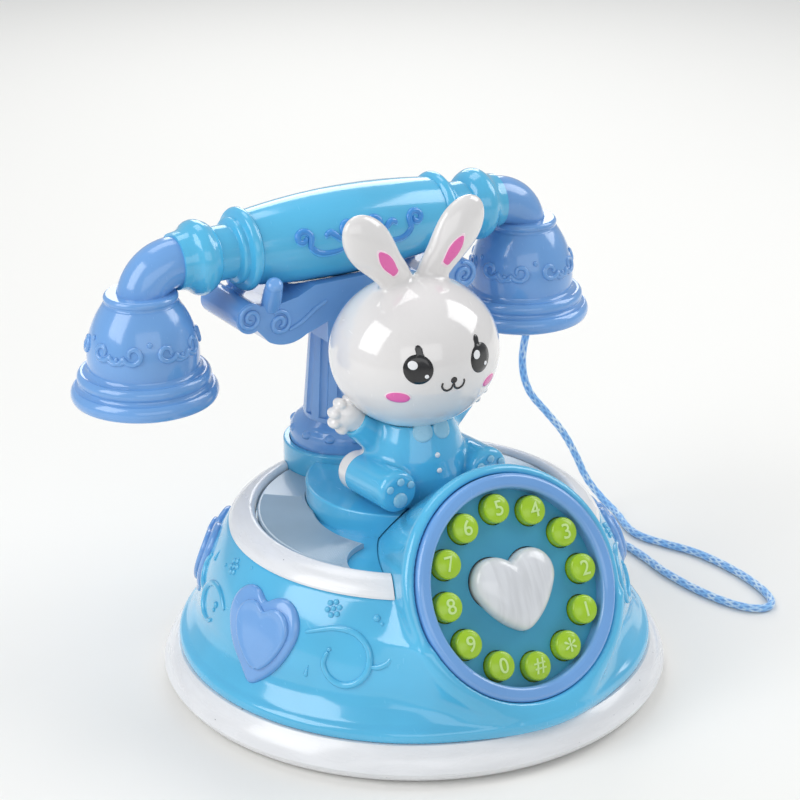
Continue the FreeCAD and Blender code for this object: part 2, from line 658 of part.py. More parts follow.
def bell_corners(inset):
    """Half of a bell's outline: neck ring, domed body and a flared foot in two rolls."""
    return [
        ("0", "bell_foot_z"), (f"bell_rim_radius - 4 - {inset}", "bell_foot_z", "6", 1),
        (f"bell_rim_radius - 1 - {inset}", "bell_rim_z - 2.4", "3.6", 1),
        (f"bell_rim_radius - 1.6 - {inset}", "bell_rim_z + 2.6", "1.6", -1),
        (f"bell_body_radius + 3.3 - {inset}", "bell_rim_z + 4", "2.6", 1),
        (f"bell_body_radius + 2.6 - {inset}", "bell_rim_z + 8", "2", -1),
        (f"bell_body_radius - {inset}", "bell_body_z", "32", 1),
        (f"bell_neck_radius + 0.6 - {inset}", "bell_neck_z - 2.6", "1", -1),
        (f"bell_neck_radius - {inset}", "bell_neck_z - 1.4", "1.5", 1),
        (f"bell_neck_radius - 0.6 - {inset}", f"bell_neck_z + 1 - {inset}"),
        ("0", f"bell_neck_z + 1 - {inset}")]


def make_handset():
    """Two grip shells, an elbow, a bell and a pierced cap at each end, and the screws."""
    whole = place(turned("GripOutside", grip_corners("0"), "H_Axis"), y="mast_y", z="handset_z")
    hollow = handset_tool("-shell_wall")
    shell = cut(whole, hollow)
    for half, low in (("front", "-30"), ("back", "0")):
        keep(f"grip_{half}", common(shell, box("300", "30", "60", "-150", f"mast_y + {low}", "120")))
    for name, cap_name, end, side in (("mouth", "mouth_cap", "left", -1), ("ear", "ear_cap", "right", 1)):
        keep(f"elbow_{end}", cut(elbow(side, "elbow_radius"), elbow(side, "elbow_radius - shell_wall")))
        shell = cut(turned("Bell", bell_corners("0")), turned("BellInside", bell_corners("shell_wall")))
        holes = pins("1.3", "10", "8", range(0, 360, 60), z="bell_foot_z - 4")
        mouth = cylinder("cap_radius + 0.1", "6", z="bell_foot_z - 2")
        bell = cut(shell, mouth)
        place(bell, f"{side} * bell_x", "mast_y")
        keep(f"{name}_bell", cut(bell, elbow(side, "elbow_radius + 0.02")))
        cap = cut(cylinder("cap_radius", "1.8", z="bell_foot_z + 1"), holes,
                  cylinder("1.3", "10", z="bell_foot_z - 4"))
        keep(cap_name, place(cap, f"{side} * bell_x", "mast_y"))


# ---------------------------------------------------------------- rabbit

def ellipsoid(tall, wide, deep, x="0", y="0", z="0", axis=None, angle="0"):
    """A Part ellipsoid by its half height, half width and half depth."""
    item = DOC.addObject("Part::Ellipsoid", "Ellipsoid")
    bind(item, "Radius1", tall)
    bind(item, "Radius2", wide)
    bind(item, "Radius3", deep)
    return place(item, x, y, z, axis, angle)


def make_head():
    """The rabbit's head and ears, in a front and a back shell."""
    ears = [ellipsoid("ear_half_length", "ear_half_width", "ear_half_depth", f"{side} * ear_x", "0",
                      "ear_z", Vector(0, 1, 0), f"{side} * ear_lean") for _, side in SIDES]
    head = ellipsoid("head_height", "head_width", "head_depth", z="head_z")
    inside = ellipsoid("head_height - wall", "head_width - wall", "head_depth - wall", z="head_z")
    whole = cut(fuse(head, *ears), inside)
    keep("head_front", common(whole, box("100", "50", "120", "-50", "-50", "80")))
    keep("head_back", common(whole, box("100", "50", "120", "-50", "0", "80")))


def make_rabbit_body():
    """The sitting body in a blue front shell and a white back shell, which carries the paws."""
    torso = turned("Torso", [
        ("0", "platform_top"), ("body_radius - 0.6", "platform_top", "90", 1), ("body_radius", "78", "30", 1),
        ("body_radius - 5", "neck_top"), ("0", "neck_top")])
    limbs = []
    paws = []
    for _, side in SIDES:
        hip = (side * value("leg_x"), value("leg_back_y"), value("hip_z"))
        foot = (side * value("leg_x"), value("foot_y"), value("foot_z"))
        length = (Vector(*foot) - Vector(*hip)).Length
        leg = turned("Leg", [
            ("0", "0"), ("leg_radius - 3.4", "0.6", "5", 1), ("leg_radius - 0.2", "5"),
            ("leg_radius", f"{length} - 2.2", "2.2", 1), ("leg_radius - 2", f"{length} - 0.3"),
            ("0", f"{length}")])
        limbs.append(along(leg, hip, foot))
        arm = turned("Arm", [("0", "0"), ("arm_radius + 1", "0"), ("arm_radius - 0.6", "13.4"), ("0", "13.4")])
        limbs.append(along(arm, (side * 12, 3.5, 87), (side * 22, 3.5, 95.5)))
        wrist = turned("Wrist", [("0", "0"), ("arm_radius - 0.9", "0"), ("paw_radius - 0.6", "6"), ("0", "6")])
        paws.append(along(wrist, (side * 22.2, 3.5, 95.7), (side * 32, 3.5, 104)))
        paws.append(ball("paw_radius", f"{side} * 28.3", "3.5", "100.8"))
        for x, z in ((28.2, 107), (32, 105.8), (34, 102.2), (33.2, 98.2)):
            paws.append(ball("2.3", f"{side} * {x}", "3.5", f"{z}"))
    head = ellipsoid("head_height + 0.05", "head_width + 0.05", "head_depth + 0.05", z="head_z")
    whole = cut(fuse(torso, *limbs), head, place(turned("TorsoInside", [
        ("0", "platform_top - 1"), ("body_radius - 0.6 - wall", "platform_top - 1"),
        ("body_radius - wall", "78"), ("body_radius - 5 - wall", "neck_top - 4"), ("0", "neck_top - 4")])),
        drum_tool("gap"))
    keep("body_front", common(whole, box("100", "60", "60", "-50", "seam_y - 60", "60")))
    back = common(whole, box("100", "60", "60", "-50", "seam_y", "60"))
    keep("body_back", cut(fuse(back, *paws), head, PARTS["body_front"]))


# ---------------------------------------------------------------- cord

def cord_edges():
    """The rope's centre line as straight runs joined by tangent arcs, and each run's edge number."""
    spots = [Vector(*corner) for corner in CORD_ROUTE]
    edges = []
    runs = {}
    here = spots[0]
    radii = []
    for number in range(1, len(spots) - 1):
        before = spots[number] - spots[number - 1]
        after = spots[number + 1] - spots[number]
        half = before.getAngle(after) / 2
        reach = 0.45 * min(before.Length, after.Length)
        radii.append(reach / math.tan(half))
        ahead, behind = Vector(after).normalize(), Vector(before).normalize()
        first = spots[number] - behind * reach
        last = spots[number] + ahead * reach
        bisector = (ahead - behind).normalize()
        middle = spots[number] + bisector * (radii[-1] / math.cos(half) - radii[-1])
        runs[number - 1] = len(edges)
        edges.append(Part.LineSegment(here, first).toShape())
        edges.append(Part.Arc(first, middle, last).toShape())
        here = last
    runs[len(spots) - 2] = len(edges)
    edges.append(Part.LineSegment(here, spots[-1]).toShape())
    print("cord radii", [round(radius, 1) for radius in radii])
    return edges, runs


def tube(label, edges):
    """A round tube along joined edges, its volume compared with its section times its length."""
    radius = value("cord_radius")
    start = edges[0].firstVertex(True).Point
    ring = Part.Wire([Part.Circle(start, edges[0].tangentAt(edges[0].FirstParameter), radius).toShape()])
    shape = Part.Wire(edges).makePipeShell([ring], True, False)
    length = sum(edge.Length for edge in edges)
    print(label, "length", round(length, 1), "volume ratio",
          round(shape.Volume / (math.pi * radius ** 2 * length), 4))
    item = DOC.addObject("Part::Feature", label)
    item.Shape = shape
    item.Placement = Placement()
    return keep(label, item)


def make_cord():
    """The rope in two stretches, its grommet in the base's rim and its relief on the ear bell."""
    edges, runs = cord_edges()
    cut_at = runs[CORD_SPLIT]
    shared = edges[cut_at]
    first, last = (shared.valueAt(shared.FirstParameter), shared.valueAt(shared.LastParameter))
    middle = (first + last) * 0.5
    tube("cord_lifted", edges[:cut_at] + [Part.LineSegment(first, middle).toShape()])
    tube("cord_laid", [Part.LineSegment(middle, last).toShape()] + edges[cut_at + 1:])
    for label, end, beside, radius, length in (("cord_relief", 0, 1, "relief_radius", "relief_length"),
                                               ("cord_grommet", -1, -2, "grommet_radius", "grommet_length")):
        tip, outer = Vector(*CORD_ROUTE[end]), Vector(*CORD_ROUTE[beside])
        back = tip - (outer - tip).normalize() * value(length)
        sleeve = turned(f"{label}Sleeve", [("0", "0"), (radius, "0"), (f"{radius} - 0.8", length), ("0", length)])
        keep(label, along(sleeve, back, tip))


def check_and_write():
    """Recompute, check every object and write one file for each sub-part."""
    DOC.recompute()
    failed = [f"{item.Label} in {[parent.Label for parent in item.InList]}" for item in DOC.Objects
              if "Invalid" in item.State or "Error" in item.State]
    if failed:
        raise RuntimeError(f"failed: {failed}")
    os.makedirs("parts", exist_ok=True)
    for label, item in PARTS.items():
        shape = item.Shape
        if shape.isNull() or not shape.isValid() or not shape.Solids:
            raise RuntimeError(f"{label} has no valid solid")
        shape.exportStep(f"parts/{label}.step")
        print(f"{label:24s} solids {len(shape.Solids)} volume {shape.Volume / 1000:8.2f} cm3")


fill_sheet()
make_foot_ring()
make_base_shell()
make_shoulder_ring()
make_top_deck()
make_lenses()
make_heart_plaques()
make_bottom()
make_base_inside()
make_dial()
make_keys()
make_heart_button()
make_mast()
make_cradle()
make_handset()
make_head()
make_rabbit_body()
make_cord()
check_and_write()
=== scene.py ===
"""Looks of a toy desk telephone: glossy moulded shells, a push-button dial, a rabbit and a rope."""

import json
import logging
import math
from dataclasses import dataclass
from enum import Enum
from typing import Callable, Optional, Sequence, Union

import bmesh
import bpy
import numpy as np
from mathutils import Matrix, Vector

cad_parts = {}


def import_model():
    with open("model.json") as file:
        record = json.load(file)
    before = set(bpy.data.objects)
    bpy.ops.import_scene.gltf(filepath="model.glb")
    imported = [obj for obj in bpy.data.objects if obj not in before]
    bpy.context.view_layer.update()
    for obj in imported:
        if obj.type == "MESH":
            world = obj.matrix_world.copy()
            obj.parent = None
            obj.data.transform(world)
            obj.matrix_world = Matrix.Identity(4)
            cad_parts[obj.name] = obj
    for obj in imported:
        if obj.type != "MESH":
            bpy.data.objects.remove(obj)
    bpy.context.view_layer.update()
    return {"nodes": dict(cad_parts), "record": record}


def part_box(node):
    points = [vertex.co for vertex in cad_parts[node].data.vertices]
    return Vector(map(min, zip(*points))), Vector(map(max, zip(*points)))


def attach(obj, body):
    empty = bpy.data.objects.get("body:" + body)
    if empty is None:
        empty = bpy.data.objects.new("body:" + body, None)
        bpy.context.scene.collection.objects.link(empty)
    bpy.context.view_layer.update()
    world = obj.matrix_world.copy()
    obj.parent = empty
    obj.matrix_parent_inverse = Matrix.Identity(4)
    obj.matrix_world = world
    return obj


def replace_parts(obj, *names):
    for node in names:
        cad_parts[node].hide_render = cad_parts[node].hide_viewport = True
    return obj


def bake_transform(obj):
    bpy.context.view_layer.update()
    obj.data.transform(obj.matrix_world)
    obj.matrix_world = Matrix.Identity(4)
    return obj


LOG = logging.getLogger("telephone")
MM = 0.001
Colour = tuple[float, float, float]
Field = Callable[[np.ndarray], np.ndarray]
Spot = tuple[float, float, float]
Flat = tuple[float, float]
Shape = tuple[np.ndarray, list]
Surface = Callable[[float, float, float], Spot]


# ------------------------------------------------------------------ shader maths

class Wire:
    """A node's output whose Python operators add Math nodes."""

    def __init__(self, shader: "Shader", socket: bpy.types.NodeSocket) -> None:
        """Keep the tree and the socket."""
        self.shader = shader
        self.socket = socket

    def _math(self, operation: str, *values: Union["Wire", float]) -> "Wire":
        """Add one Math node on these values and return its output."""
        return self.shader.node("ShaderNodeMath", {"operation": operation}, dict(enumerate(values)))

    def __add__(self, other: Union["Wire", float]) -> "Wire":
        """Sum."""
        return self._math("ADD", self, other)

    __radd__ = __add__

    def __mul__(self, other: Union["Wire", float]) -> "Wire":
        """Product."""
        return self._math("MULTIPLY", self, other)

    __rmul__ = __mul__

    def step(self, low: float, high: float) -> "Wire":
        """A smooth rise from 0 at low to 1 at high."""
        return self.shader.node("ShaderNodeMapRange", {"interpolation_type": "SMOOTHSTEP"},
                                {0: self, 1: low, 2: high, 3: 0.0, 4: 1.0})


class Shader:
    """One material's node tree with a single Principled surface."""

    def __init__(self, name: str) -> None:
        """Make an empty material of that name.

        Args:
            name: the material's name.
        """
        self.material = bpy.data.materials.new(name)
        self.material.use_nodes = True
        self.tree = self.material.node_tree
        self.tree.nodes.clear()
        self.surface = self.tree.nodes.new("ShaderNodeBsdfPrincipled")
        output = self.tree.nodes.new("ShaderNodeOutputMaterial")
        self.tree.links.new(self.surface.outputs[0], output.inputs["Surface"])
        self.place = self.node("ShaderNodeTexCoord", {}, {}, "Object")

    def node(self, kind: str, settings: dict, values: dict, output: Union[int, str] = 0) -> Wire:
        """Add a node.

        Args:
            kind: the node's type.
            settings: its properties, set first; "stops" holds a ramp's positions and colours.
            values: numbers or wires for its inputs, by name or index.
            output: which output to return.

        Returns:
            The wire of that output.
        """
        made = self.tree.nodes.new(kind)
        for key, setting in settings.items():
            if key == "stops":
                ramp = made.color_ramp.elements
                for number, (position, colour) in enumerate(setting):
                    stop = ramp[number] if number < len(ramp) else ramp.new(position)
                    stop.position = position
                    stop.color = (*colour, 1.0)
            else:
                setattr(made, key, setting)
        for key, value in values.items():
            self.feed(made.inputs[key], value)
        return Wire(self, made.outputs[output])

    def feed(self, socket: bpy.types.NodeSocket, value: Union[Wire, float, Sequence[float]]) -> None:
        """Link a wire to a socket, or set its number or colour.

        Args:
            socket: the socket.
            value: a wire, a number or a colour.
        """
        if isinstance(value, Wire):
            self.tree.links.new(value.socket, socket)
        elif socket.type == "RGBA":
            socket.default_value = (*value, 1.0)
        else:
            socket.default_value = value

    def set(self, **values: Union[Wire, float, Sequence[float]]) -> None:
        """Feed the surface's sockets, named with underscores for spaces."""
        for key, value in values.items():
            self.feed(self.surface.inputs[key.replace("_", " ")], value)

    def noise(self, scale: float, detail: float = 2.0, stretch: Spot = (1.0, 1.0, 1.0)) -> Wire:
        """Noise over the object's own coordinates, stretched along its axes.

        Args:
            scale: its scale.
            detail: its detail.
            stretch: how much finer it is along each axis.

        Returns:
            The noise's value.
        """
        where = self.place
        if stretch != (1.0, 1.0, 1.0):
            where = self.node("ShaderNodeMapping", {}, {"Vector": where, "Scale": stretch})
        return self.node("ShaderNodeTexNoise", {}, {"Vector": where, "Scale": scale, "Detail": detail})

    def blend(self, factor: Union[Wire, float], first: Union[Wire, Colour],
              second: Union[Wire, Colour]) -> Wire:
        """A colour between two colours."""
        return self.node("ShaderNodeMix", {"data_type": "RGBA"}, {0: factor, 6: first, 7: second}, 2)

    def bump(self, height: Wire, strength: float, distance: float, under: Optional[Wire] = None) -> Wire:
        """A normal bumped by a height, in metres at full strength.

        Args:
            height: the height.
            strength: the bump's strength.
            distance: the depth at full strength.
            under: a normal to start from.

        Returns:
            The normal.
        """
        values = {"Height": height, "Strength": strength, "Distance": distance}
        if under:
            values["Normal"] = under
        return self.node("ShaderNodeBump", {}, values)


# ------------------------------------------------------------------ finishes

@dataclass(frozen=True)
class Finish:
    """Base of every finish: a colour and how it is painted."""

    name: str
    colour: Colour
    roughness: float = 0.2

    def build(self) -> bpy.types.Material:
        """Make the material.

        Returns:
            The material.
        """
        shader = Shader(self.name)
        self.paint(shader)
        return shader.material

    def paint(self, shader: Shader) -> None:
        """Fill the surface's sockets."""
        shader.set(Base_Color=self.colour, Roughness=self.roughness)


def tinted(colour: Colour, factor: float) -> Colour:
    """A colour made lighter or darker."""
    return tuple(min(1.0, part * factor) for part in colour)


@dataclass(frozen=True)
class Moulded(Finish):
    """Glossy injection-moulded plastic with faint flow marks, ripple and fine scuffs."""

    coat: float = 0.5
    mottle: float = 0.07
    ripple: float = 0.12
    glow: float = 0.0

    def paint(self, shader: Shader) -> None:
        """Flow marks in the colour, scuffs in the roughness and ripple in the normal.

        Args:
            shader: the material being made.
        """
        flow = shader.noise(22.0, 3.0)
        dark, light = tinted(self.colour, 1 - self.mottle), tinted(self.colour, 1 + self.mottle)
        scuffs = shader.noise(900.0, 2.0, (1.0, 0.12, 0.3)).step(0.66, 0.8)
        shader.set(Base_Color=shader.blend(flow.step(0.3, 0.7), dark, light),
                   Roughness=self.roughness + scuffs * 0.22 + shader.noise(160.0) * 0.04,
                   Coat_Weight=self.coat, Coat_Roughness=0.06, IOR=1.5,
                   Subsurface_Weight=self.glow, Subsurface_Radius=(0.004, 0.004, 0.004),
                   Normal=shader.bump(shader.noise(75.0, 1.0), self.ripple, 0.0004))


@dataclass(frozen=True)
class Pearl(Finish):
    """Off-white pearl plastic with drawn-out grain and a few dark specks."""

    grain: Spot = (1.0, 1.0, 6.0)
    streaks: float = 0.5

    def paint(self, shader: Shader) -> None:
        """Streaks in the colour and specks over them.

        Args:
            shader: the material being made.
        """
        streak = shader.noise(55.0, 6.0, self.grain).step(0.36, 0.68) * self.streaks
        pearly = shader.blend(streak, self.colour, tinted(self.colour, 0.86))
        speck = shader.noise(620.0, 0.0, (1.0, 1.0, 1.6)).step(0.86, 0.88)
        shader.set(Base_Color=shader.blend(speck, pearly, (0.22, 0.22, 0.25)),
                   Roughness=self.roughness + streak * 0.12 + speck * 0.3,
                   Coat_Weight=0.45, Coat_Roughness=0.1, Sheen_Weight=0.15,
                   Subsurface_Weight=0.12, Subsurface_Radius=(0.003, 0.003, 0.003),
                   Normal=shader.bump(streak, 0.1, 0.0002))


@dataclass(frozen=True)
class Frosted(Finish):
    """Milky clear plastic over a darker space."""

    def paint(self, shader: Shader) -> None:
        """A cloudy colour with a grainy surface.

        Args:
            shader: the material being made.
        """
        cloud = shader.noise(30.0, 3.0).step(0.3, 0.7)
        shader.set(Base_Color=shader.blend(cloud, self.colour, tinted(self.colour, 0.88)),
                   Roughness=0.3 + cloud * 0.1, Transmission_Weight=0.12, Coat_Weight=0.3,
                   Normal=shader.bump(shader.noise(1500.0, 2.0), 0.15, 0.0002))


@dataclass(frozen=True)
class Braid(Finish):
    """Braided rope: bright strands with painted shade in the gaps between them, laid by the piece's own
    strand attribute.
    """

    # painted shade: the darker copy of the rope's colour laid in the gaps between strands
    shade: Colour = (0.16, 0.36, 0.74)

    def paint(self, shader: Shader) -> None:
        """Painted shade in the gaps between strands by the mesh's own strand-height attribute, with fibres
        along them.

        Args:
            shader: the material being made.
        """
        strand = shader.node("ShaderNodeAttribute", {"attribute_name": "strand"}, {}, "Fac")
        pale = shader.noise(260.0, 3.0).step(0.42, 0.62)
        fibres = shader.noise(2600.0, 3.0, (1.0, 1.0, 0.4))
        lit = shader.blend(pale, self.colour, (0.66, 0.83, 0.97))
        # painted shade: where the strand height is low, in the gaps, the colour turns to the darker shade
        # colour; strand tops keep the lit colour
        shader.set(Base_Color=shader.blend(strand.step(0.0, 0.75), self.shade, lit),
                   Roughness=0.55 + fibres * 0.2, Sheen_Weight=0.5, Sheen_Roughness=0.4,
                   Normal=shader.bump(fibres, 0.5, 0.0003))


@dataclass(frozen=True)
class Steel(Finish):
    """Brushed metal."""

    def paint(self, shader: Shader) -> None:
        """Metal with brush lines in its roughness.

        Args:
            shader: the material being made.
        """
        brush = shader.noise(500.0, 3.0, (1.0, 12.0, 1.0))
        shader.set(Base_Color=self.colour, Metallic=1.0, Roughness=0.22 + brush * 0.2,
                   Normal=shader.bump(brush, 0.15, 0.0002))


class Look(Enum):
    """The finishes, named by the material slot they take."""

    SHELL = Moulded("shell_blue", (0.085, 0.47, 0.75), 0.15, 0.7)
    DIAL = Moulded("dial_blue", (0.045, 0.31, 0.49), 0.36, 0.15)
    PEARL = Pearl("pearl_white", (0.8, 0.81, 0.83), 0.24, (1.0, 1.0, 7.0), 0.45)
    PERIWINKLE = Moulded("periwinkle", (0.155, 0.36, 0.72), 0.17, 0.65)
    LENS = Frosted("frosted_lens", (0.42, 0.56, 0.68), 0.3)
    KEY = Moulded("key_green", (0.34, 0.57, 0.012), 0.24, 0.4)
    HEART = Pearl("pearl_heart", (0.7, 0.72, 0.75), 0.16, (9.0, 1.0, 1.0), 0.75)
    RABBIT = Moulded("rabbit_white", (0.77, 0.75, 0.74), 0.1, 0.8, 0.02, 0.05, 0.15)
    DARK = Moulded("dark_plastic", (0.02, 0.02, 0.025), 0.4, 0.1)
    GREY = Moulded("base_grey", (0.5, 0.55, 0.62), 0.4, 0.2)
    ROPE = Braid("cord_rope", (0.27, 0.56, 0.92))
    SLEEVE = Moulded("cord_sleeve", (0.11, 0.3, 0.75), 0.4, 0.1)
    RUBBER = Moulded("membrane_rubber", (0.6, 0.62, 0.62), 0.6, 0.0)
    BOARD = Moulded("board_green", (0.02, 0.2, 0.07), 0.4, 0.3)
    STEEL = Steel("screw_steel", (0.62, 0.62, 0.65))
    CELL = Moulded("battery_case", (0.05, 0.07, 0.12), 0.3, 0.4)
    DIODE = Frosted("diode_clear", (0.75, 0.8, 0.85), 0.2)
    INK = Moulded("face_ink", (0.006, 0.006, 0.008), 0.18, 0.5, 0.0, 0.02)
    BLUSH = Moulded("blush_ink", (0.78, 0.13, 0.42), 0.25, 0.4, 0.04, 0.02)
    RIM = Moulded("pale_ink", (0.9, 0.72, 0.8), 0.25, 0.4, 0.02, 0.02)
    GLINT = Moulded("white_ink", (0.85, 0.86, 0.88), 0.2, 0.5, 0.02, 0.02)
    NUMERAL = Moulded("numeral_ink", (0.56, 0.76, 0.3), 0.35, 0.2, 0.05, 0.05)
    PAD = Moulded("pad_ink", (0.28, 0.57, 0.74), 0.25, 0.4, 0.05, 0.05)
    SCROLL = Moulded("scroll_blue", (0.045, 0.27, 0.68), 0.22, 0.5)
    BAND = Moulded("grip_band", (0.1, 0.45, 0.86), 0.18, 0.6)


BUILT: dict[Look, bpy.types.Material] = {}


def material(look: Look) -> bpy.types.Material:
    """The material of a finish, made once.

    Args:
        look: the finish.

    Returns:
        The material, shared by every piece that has the finish.
    """
    if look not in BUILT:
        BUILT[look] = look.value.build()
    return BUILT[look]


# ------------------------------------------------------------------ meshes

def piece(name: str, points: np.ndarray, faces: Sequence[Sequence[int]], look: Look,
          body: str = "base", smooth: bool = True) -> bpy.types.Object:
    """A finished mesh piece from points in millimetres, riding on a body.

    Args:
        name: the piece's name.
        points: its vertices.
        faces: its faces, by vertex number.
        look: its finish.
        body: the body that it rides on.
        smooth: whether its faces are shaded smooth.

    Returns:
        The object, at the origin.
    """
    mesh = bpy.data.meshes.new(name)
    mesh.from_pydata((np.asarray(points, float) * MM).tolist(), [], [list(f) for f in faces])
    mesh.polygons.foreach_set("use_smooth", [smooth] * len(mesh.polygons))
    mesh.materials.append(material(look))
    mesh.validate()
    made = bpy.data.objects.new(name, mesh)
    bpy.context.scene.collection.objects.link(made)
    return dress(made, look, body)


def dress(made: bpy.types.Object, look: Look, body: str) -> bpy.types.Object:
    """Attach a piece to its body, and report it.

    Args:
        made: the finished object.
        look: not used.
        body: the body that it rides on, or nothing where it crosses a joint.

    Returns:
        The same object.
    """
    if body:
        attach(made, body)
    LOG.info("%s: %d faces on %s", made.name, len(made.data.polygons), body or "two bodies")
    return made


def plain_mesh(holder: bpy.types.Object) -> bpy.types.Mesh:
    """The mesh that an object's modifiers, text or curve come to."""
    graph = bpy.context.evaluated_depsgraph_get()
    return bpy.data.meshes.new_from_object(holder.evaluated_get(graph))


def joined(parts: Sequence[Shape]) -> Shape:
    """Several meshes as one list of points and faces.

    Args:
        parts: points and faces of each mesh.

    Returns:
        All points and faces, renumbered.
    """
    points: list[np.ndarray] = []
    faces: list[list[int]] = []
    count = 0
    for spots, loops in parts:
        points.append(np.asarray(spots, float))
        faces += [[number + count for number in loop] for loop in loops]
        count += len(spots)
    return np.concatenate(points), faces


def soft_least(first: np.ndarray, second: np.ndarray, width: Union[float, np.ndarray]) -> np.ndarray:
    """The smaller of two fields, rounded where they meet within that width."""
    share = np.clip(0.5 + 0.5 * (second - first) / width, 0.0, 1.0)
    return second * (1 - share) + first * share - width * share * (1 - share)


def soft_most(first: np.ndarray, second: np.ndarray, width: Union[float, np.ndarray]) -> np.ndarray:
    """The larger of two fields, rounded where they meet within that width."""
    return -soft_least(-first, -second, width)


def ellipsoid(centre: Spot, axes: Spot, lean: float = 0.0) -> Field:
    """An ellipsoid's field, leaning to the right by an angle in degrees about Y.

    Args:
        centre: its centre.
        axes: its half axes.
        lean: its lean to the right about Y, in degrees.

    Returns:
        The field.
    """
    cosine, sine = math.cos(math.radians(lean)), math.sin(math.radians(lean))
    turn = np.array([[cosine, 0, -sine], [0, 1, 0], [sine, 0, cosine]])

    def value(points: np.ndarray) -> np.ndarray:
        """Signed distance, nearly, in millimetres.

        Args:
            points: places in millimetres.

        Returns:
            The field's value at each place.
        """
        local = (points - np.array(centre)) @ turn.T
        near = np.linalg.norm(local / np.array(axes), axis=1)
        steep = np.linalg.norm(local / np.array(axes) ** 2, axis=1)
        return near * (near - 1.0) / np.maximum(steep, 1e-6)

    return value


def rod(start: Spot, end: Spot, first: float, last: float, edge: float) -> Field:
    """The field of a round bar from start to end, its radius going from first to last, with rounded ends.

    Args:
        start: one end.
        end: the other end.
        first: the radius at the start.
        last: the radius at the end.
        edge: how far the ends are rounded.

    Returns:
        The field.
    """
    here, along = np.array(start, float), np.array(end, float) - np.array(start, float)
    length = float(np.linalg.norm(along))
    along = along / length

    def value(points: np.ndarray) -> np.ndarray:
        """Signed distance, nearly, in millimetres.

        Args:
            points: places in millimetres.

        Returns:
            The field's value at each place.
        """
        out = points - here
        run = out @ along
        off = np.linalg.norm(out - run[:, None] * along, axis=1)
        radius = first + (last - first) * np.clip(run / length, 0, 1)
        return soft_most(off - radius, np.abs(run - length / 2) - length / 2, edge)

    return value


def skin(value: Field, low: Spot, high: Spot, step: float) -> Shape:
    """The closed surface where a field is nought, as quads drawn on to it.

    Args:
        value: the field, negative inside, of points in millimetres.
        low: the lowest corner of the space to look in.
        high: its highest corner.
        step: the size of a cell.

    Returns:
        Points and faces, which point outwards.
    """
    lines = [np.arange(a, b + step, step) for a, b in zip(low, high)]
    grid = np.stack(np.meshgrid(*lines, indexing="ij"), -1)
    level = value(grid.reshape(-1, 3)).reshape(grid.shape[:3])
    inside = level < 0
    cells = tuple(size - 1 for size in level.shape)
    total, hits = np.zeros((*cells, 3)), np.zeros(cells)
    for axis in range(3):
        others = [other for other in range(3) if other != axis]
        for shift in ((0, 0), (0, 1), (1, 0), (1, 1)):
            start = [0, 0, 0]
            for other, amount in zip(others, shift):
                start[other] = amount
            near = tuple(slice(s, s + c) for s, c in zip(start, cells))
            start_far = list(start)
            start_far[axis] += 1
            far = tuple(slice(s, s + c) for s, c in zip(start_far, cells))
            crossed = inside[near] != inside[far]
            share = np.where(crossed, level[near] / np.where(crossed, level[near] - level[far], 1), 0)
            spot = np.zeros((*cells, 3)) + np.array(start)
            spot[..., axis] += share
            total += np.where(crossed[..., None], spot, 0)
            hits += crossed
    active = hits > 0
    number = np.full(cells, -1)
    number[active] = np.arange(int(active.sum()))
    corner = np.argwhere(active)
    points = np.array(low) + step * (corner + total[active] / hits[active][:, None])
    faces = []
    for axis in range(3):
        one, two = [(axis + 1) % 3, (axis + 2) % 3]
        first = [slice(None)] * 3
        second = [slice(None)] * 3
        first[axis], second[axis] = slice(0, -1), slice(1, None)
        changed = inside[tuple(first)] != inside[tuple(second)]
        spots = np.argwhere(changed)
        spots = spots[(spots[:, one] > 0) & (spots[:, two] > 0)]
        spots = spots[(spots[:, one] < cells[one]) & (spots[:, two] < cells[two])]
        back_one, back_two = np.eye(3, dtype=int)[one], np.eye(3, dtype=int)[two]
        loop = [spots, spots - back_one, spots - back_one - back_two, spots - back_two]
        ring = np.stack([number[tuple(part.T)] for part in loop], 1)
        leaving = inside[tuple(spots.T)]
        ring[~leaving] = ring[~leaving][:, ::-1]
        faces.append(ring)
    points = settled(value, points, step)
    loops = np.concatenate(faces)[:, ::-1]
    ends = np.concatenate([loops[:, pair] for pair in ((0, 1), (1, 2), (2, 3), (3, 0))])
    links = np.bincount(ends[:, 0], minlength=len(points))[:, None]
    for _ in range(3):
        around = np.stack([np.bincount(ends[:, 0], points[ends[:, 1], axis], len(points))
                           for axis in range(3)], 1)
        points = settled(value, 0.4 * points + 0.6 * around / links, step)
    return points, loops.tolist()


def settled(value: Field, points: np.ndarray, step: float) -> np.ndarray:
    """Points moved on to a field's surface by a few short steps along its slope.

    Args:
        value: the field.
        points: places in millimetres.
        step: the size of the cells that the points came from.

    Returns:
        The moved points.
    """
    nudge = 0.02
    for _ in range(4):
        level = value(points)
        slope = np.stack([(value(points + nudge * axis) - value(points - nudge * axis)) / (2 * nudge)
                          for axis in np.eye(3)], 1)
        move = level[:, None] * slope / np.maximum((slope ** 2).sum(1), 0.05)[:, None]
        size = np.linalg.norm(move, axis=1)[:, None]
        points = points - move * np.minimum(1.0, 0.6 * step / np.maximum(size, 1e-9))
    return points


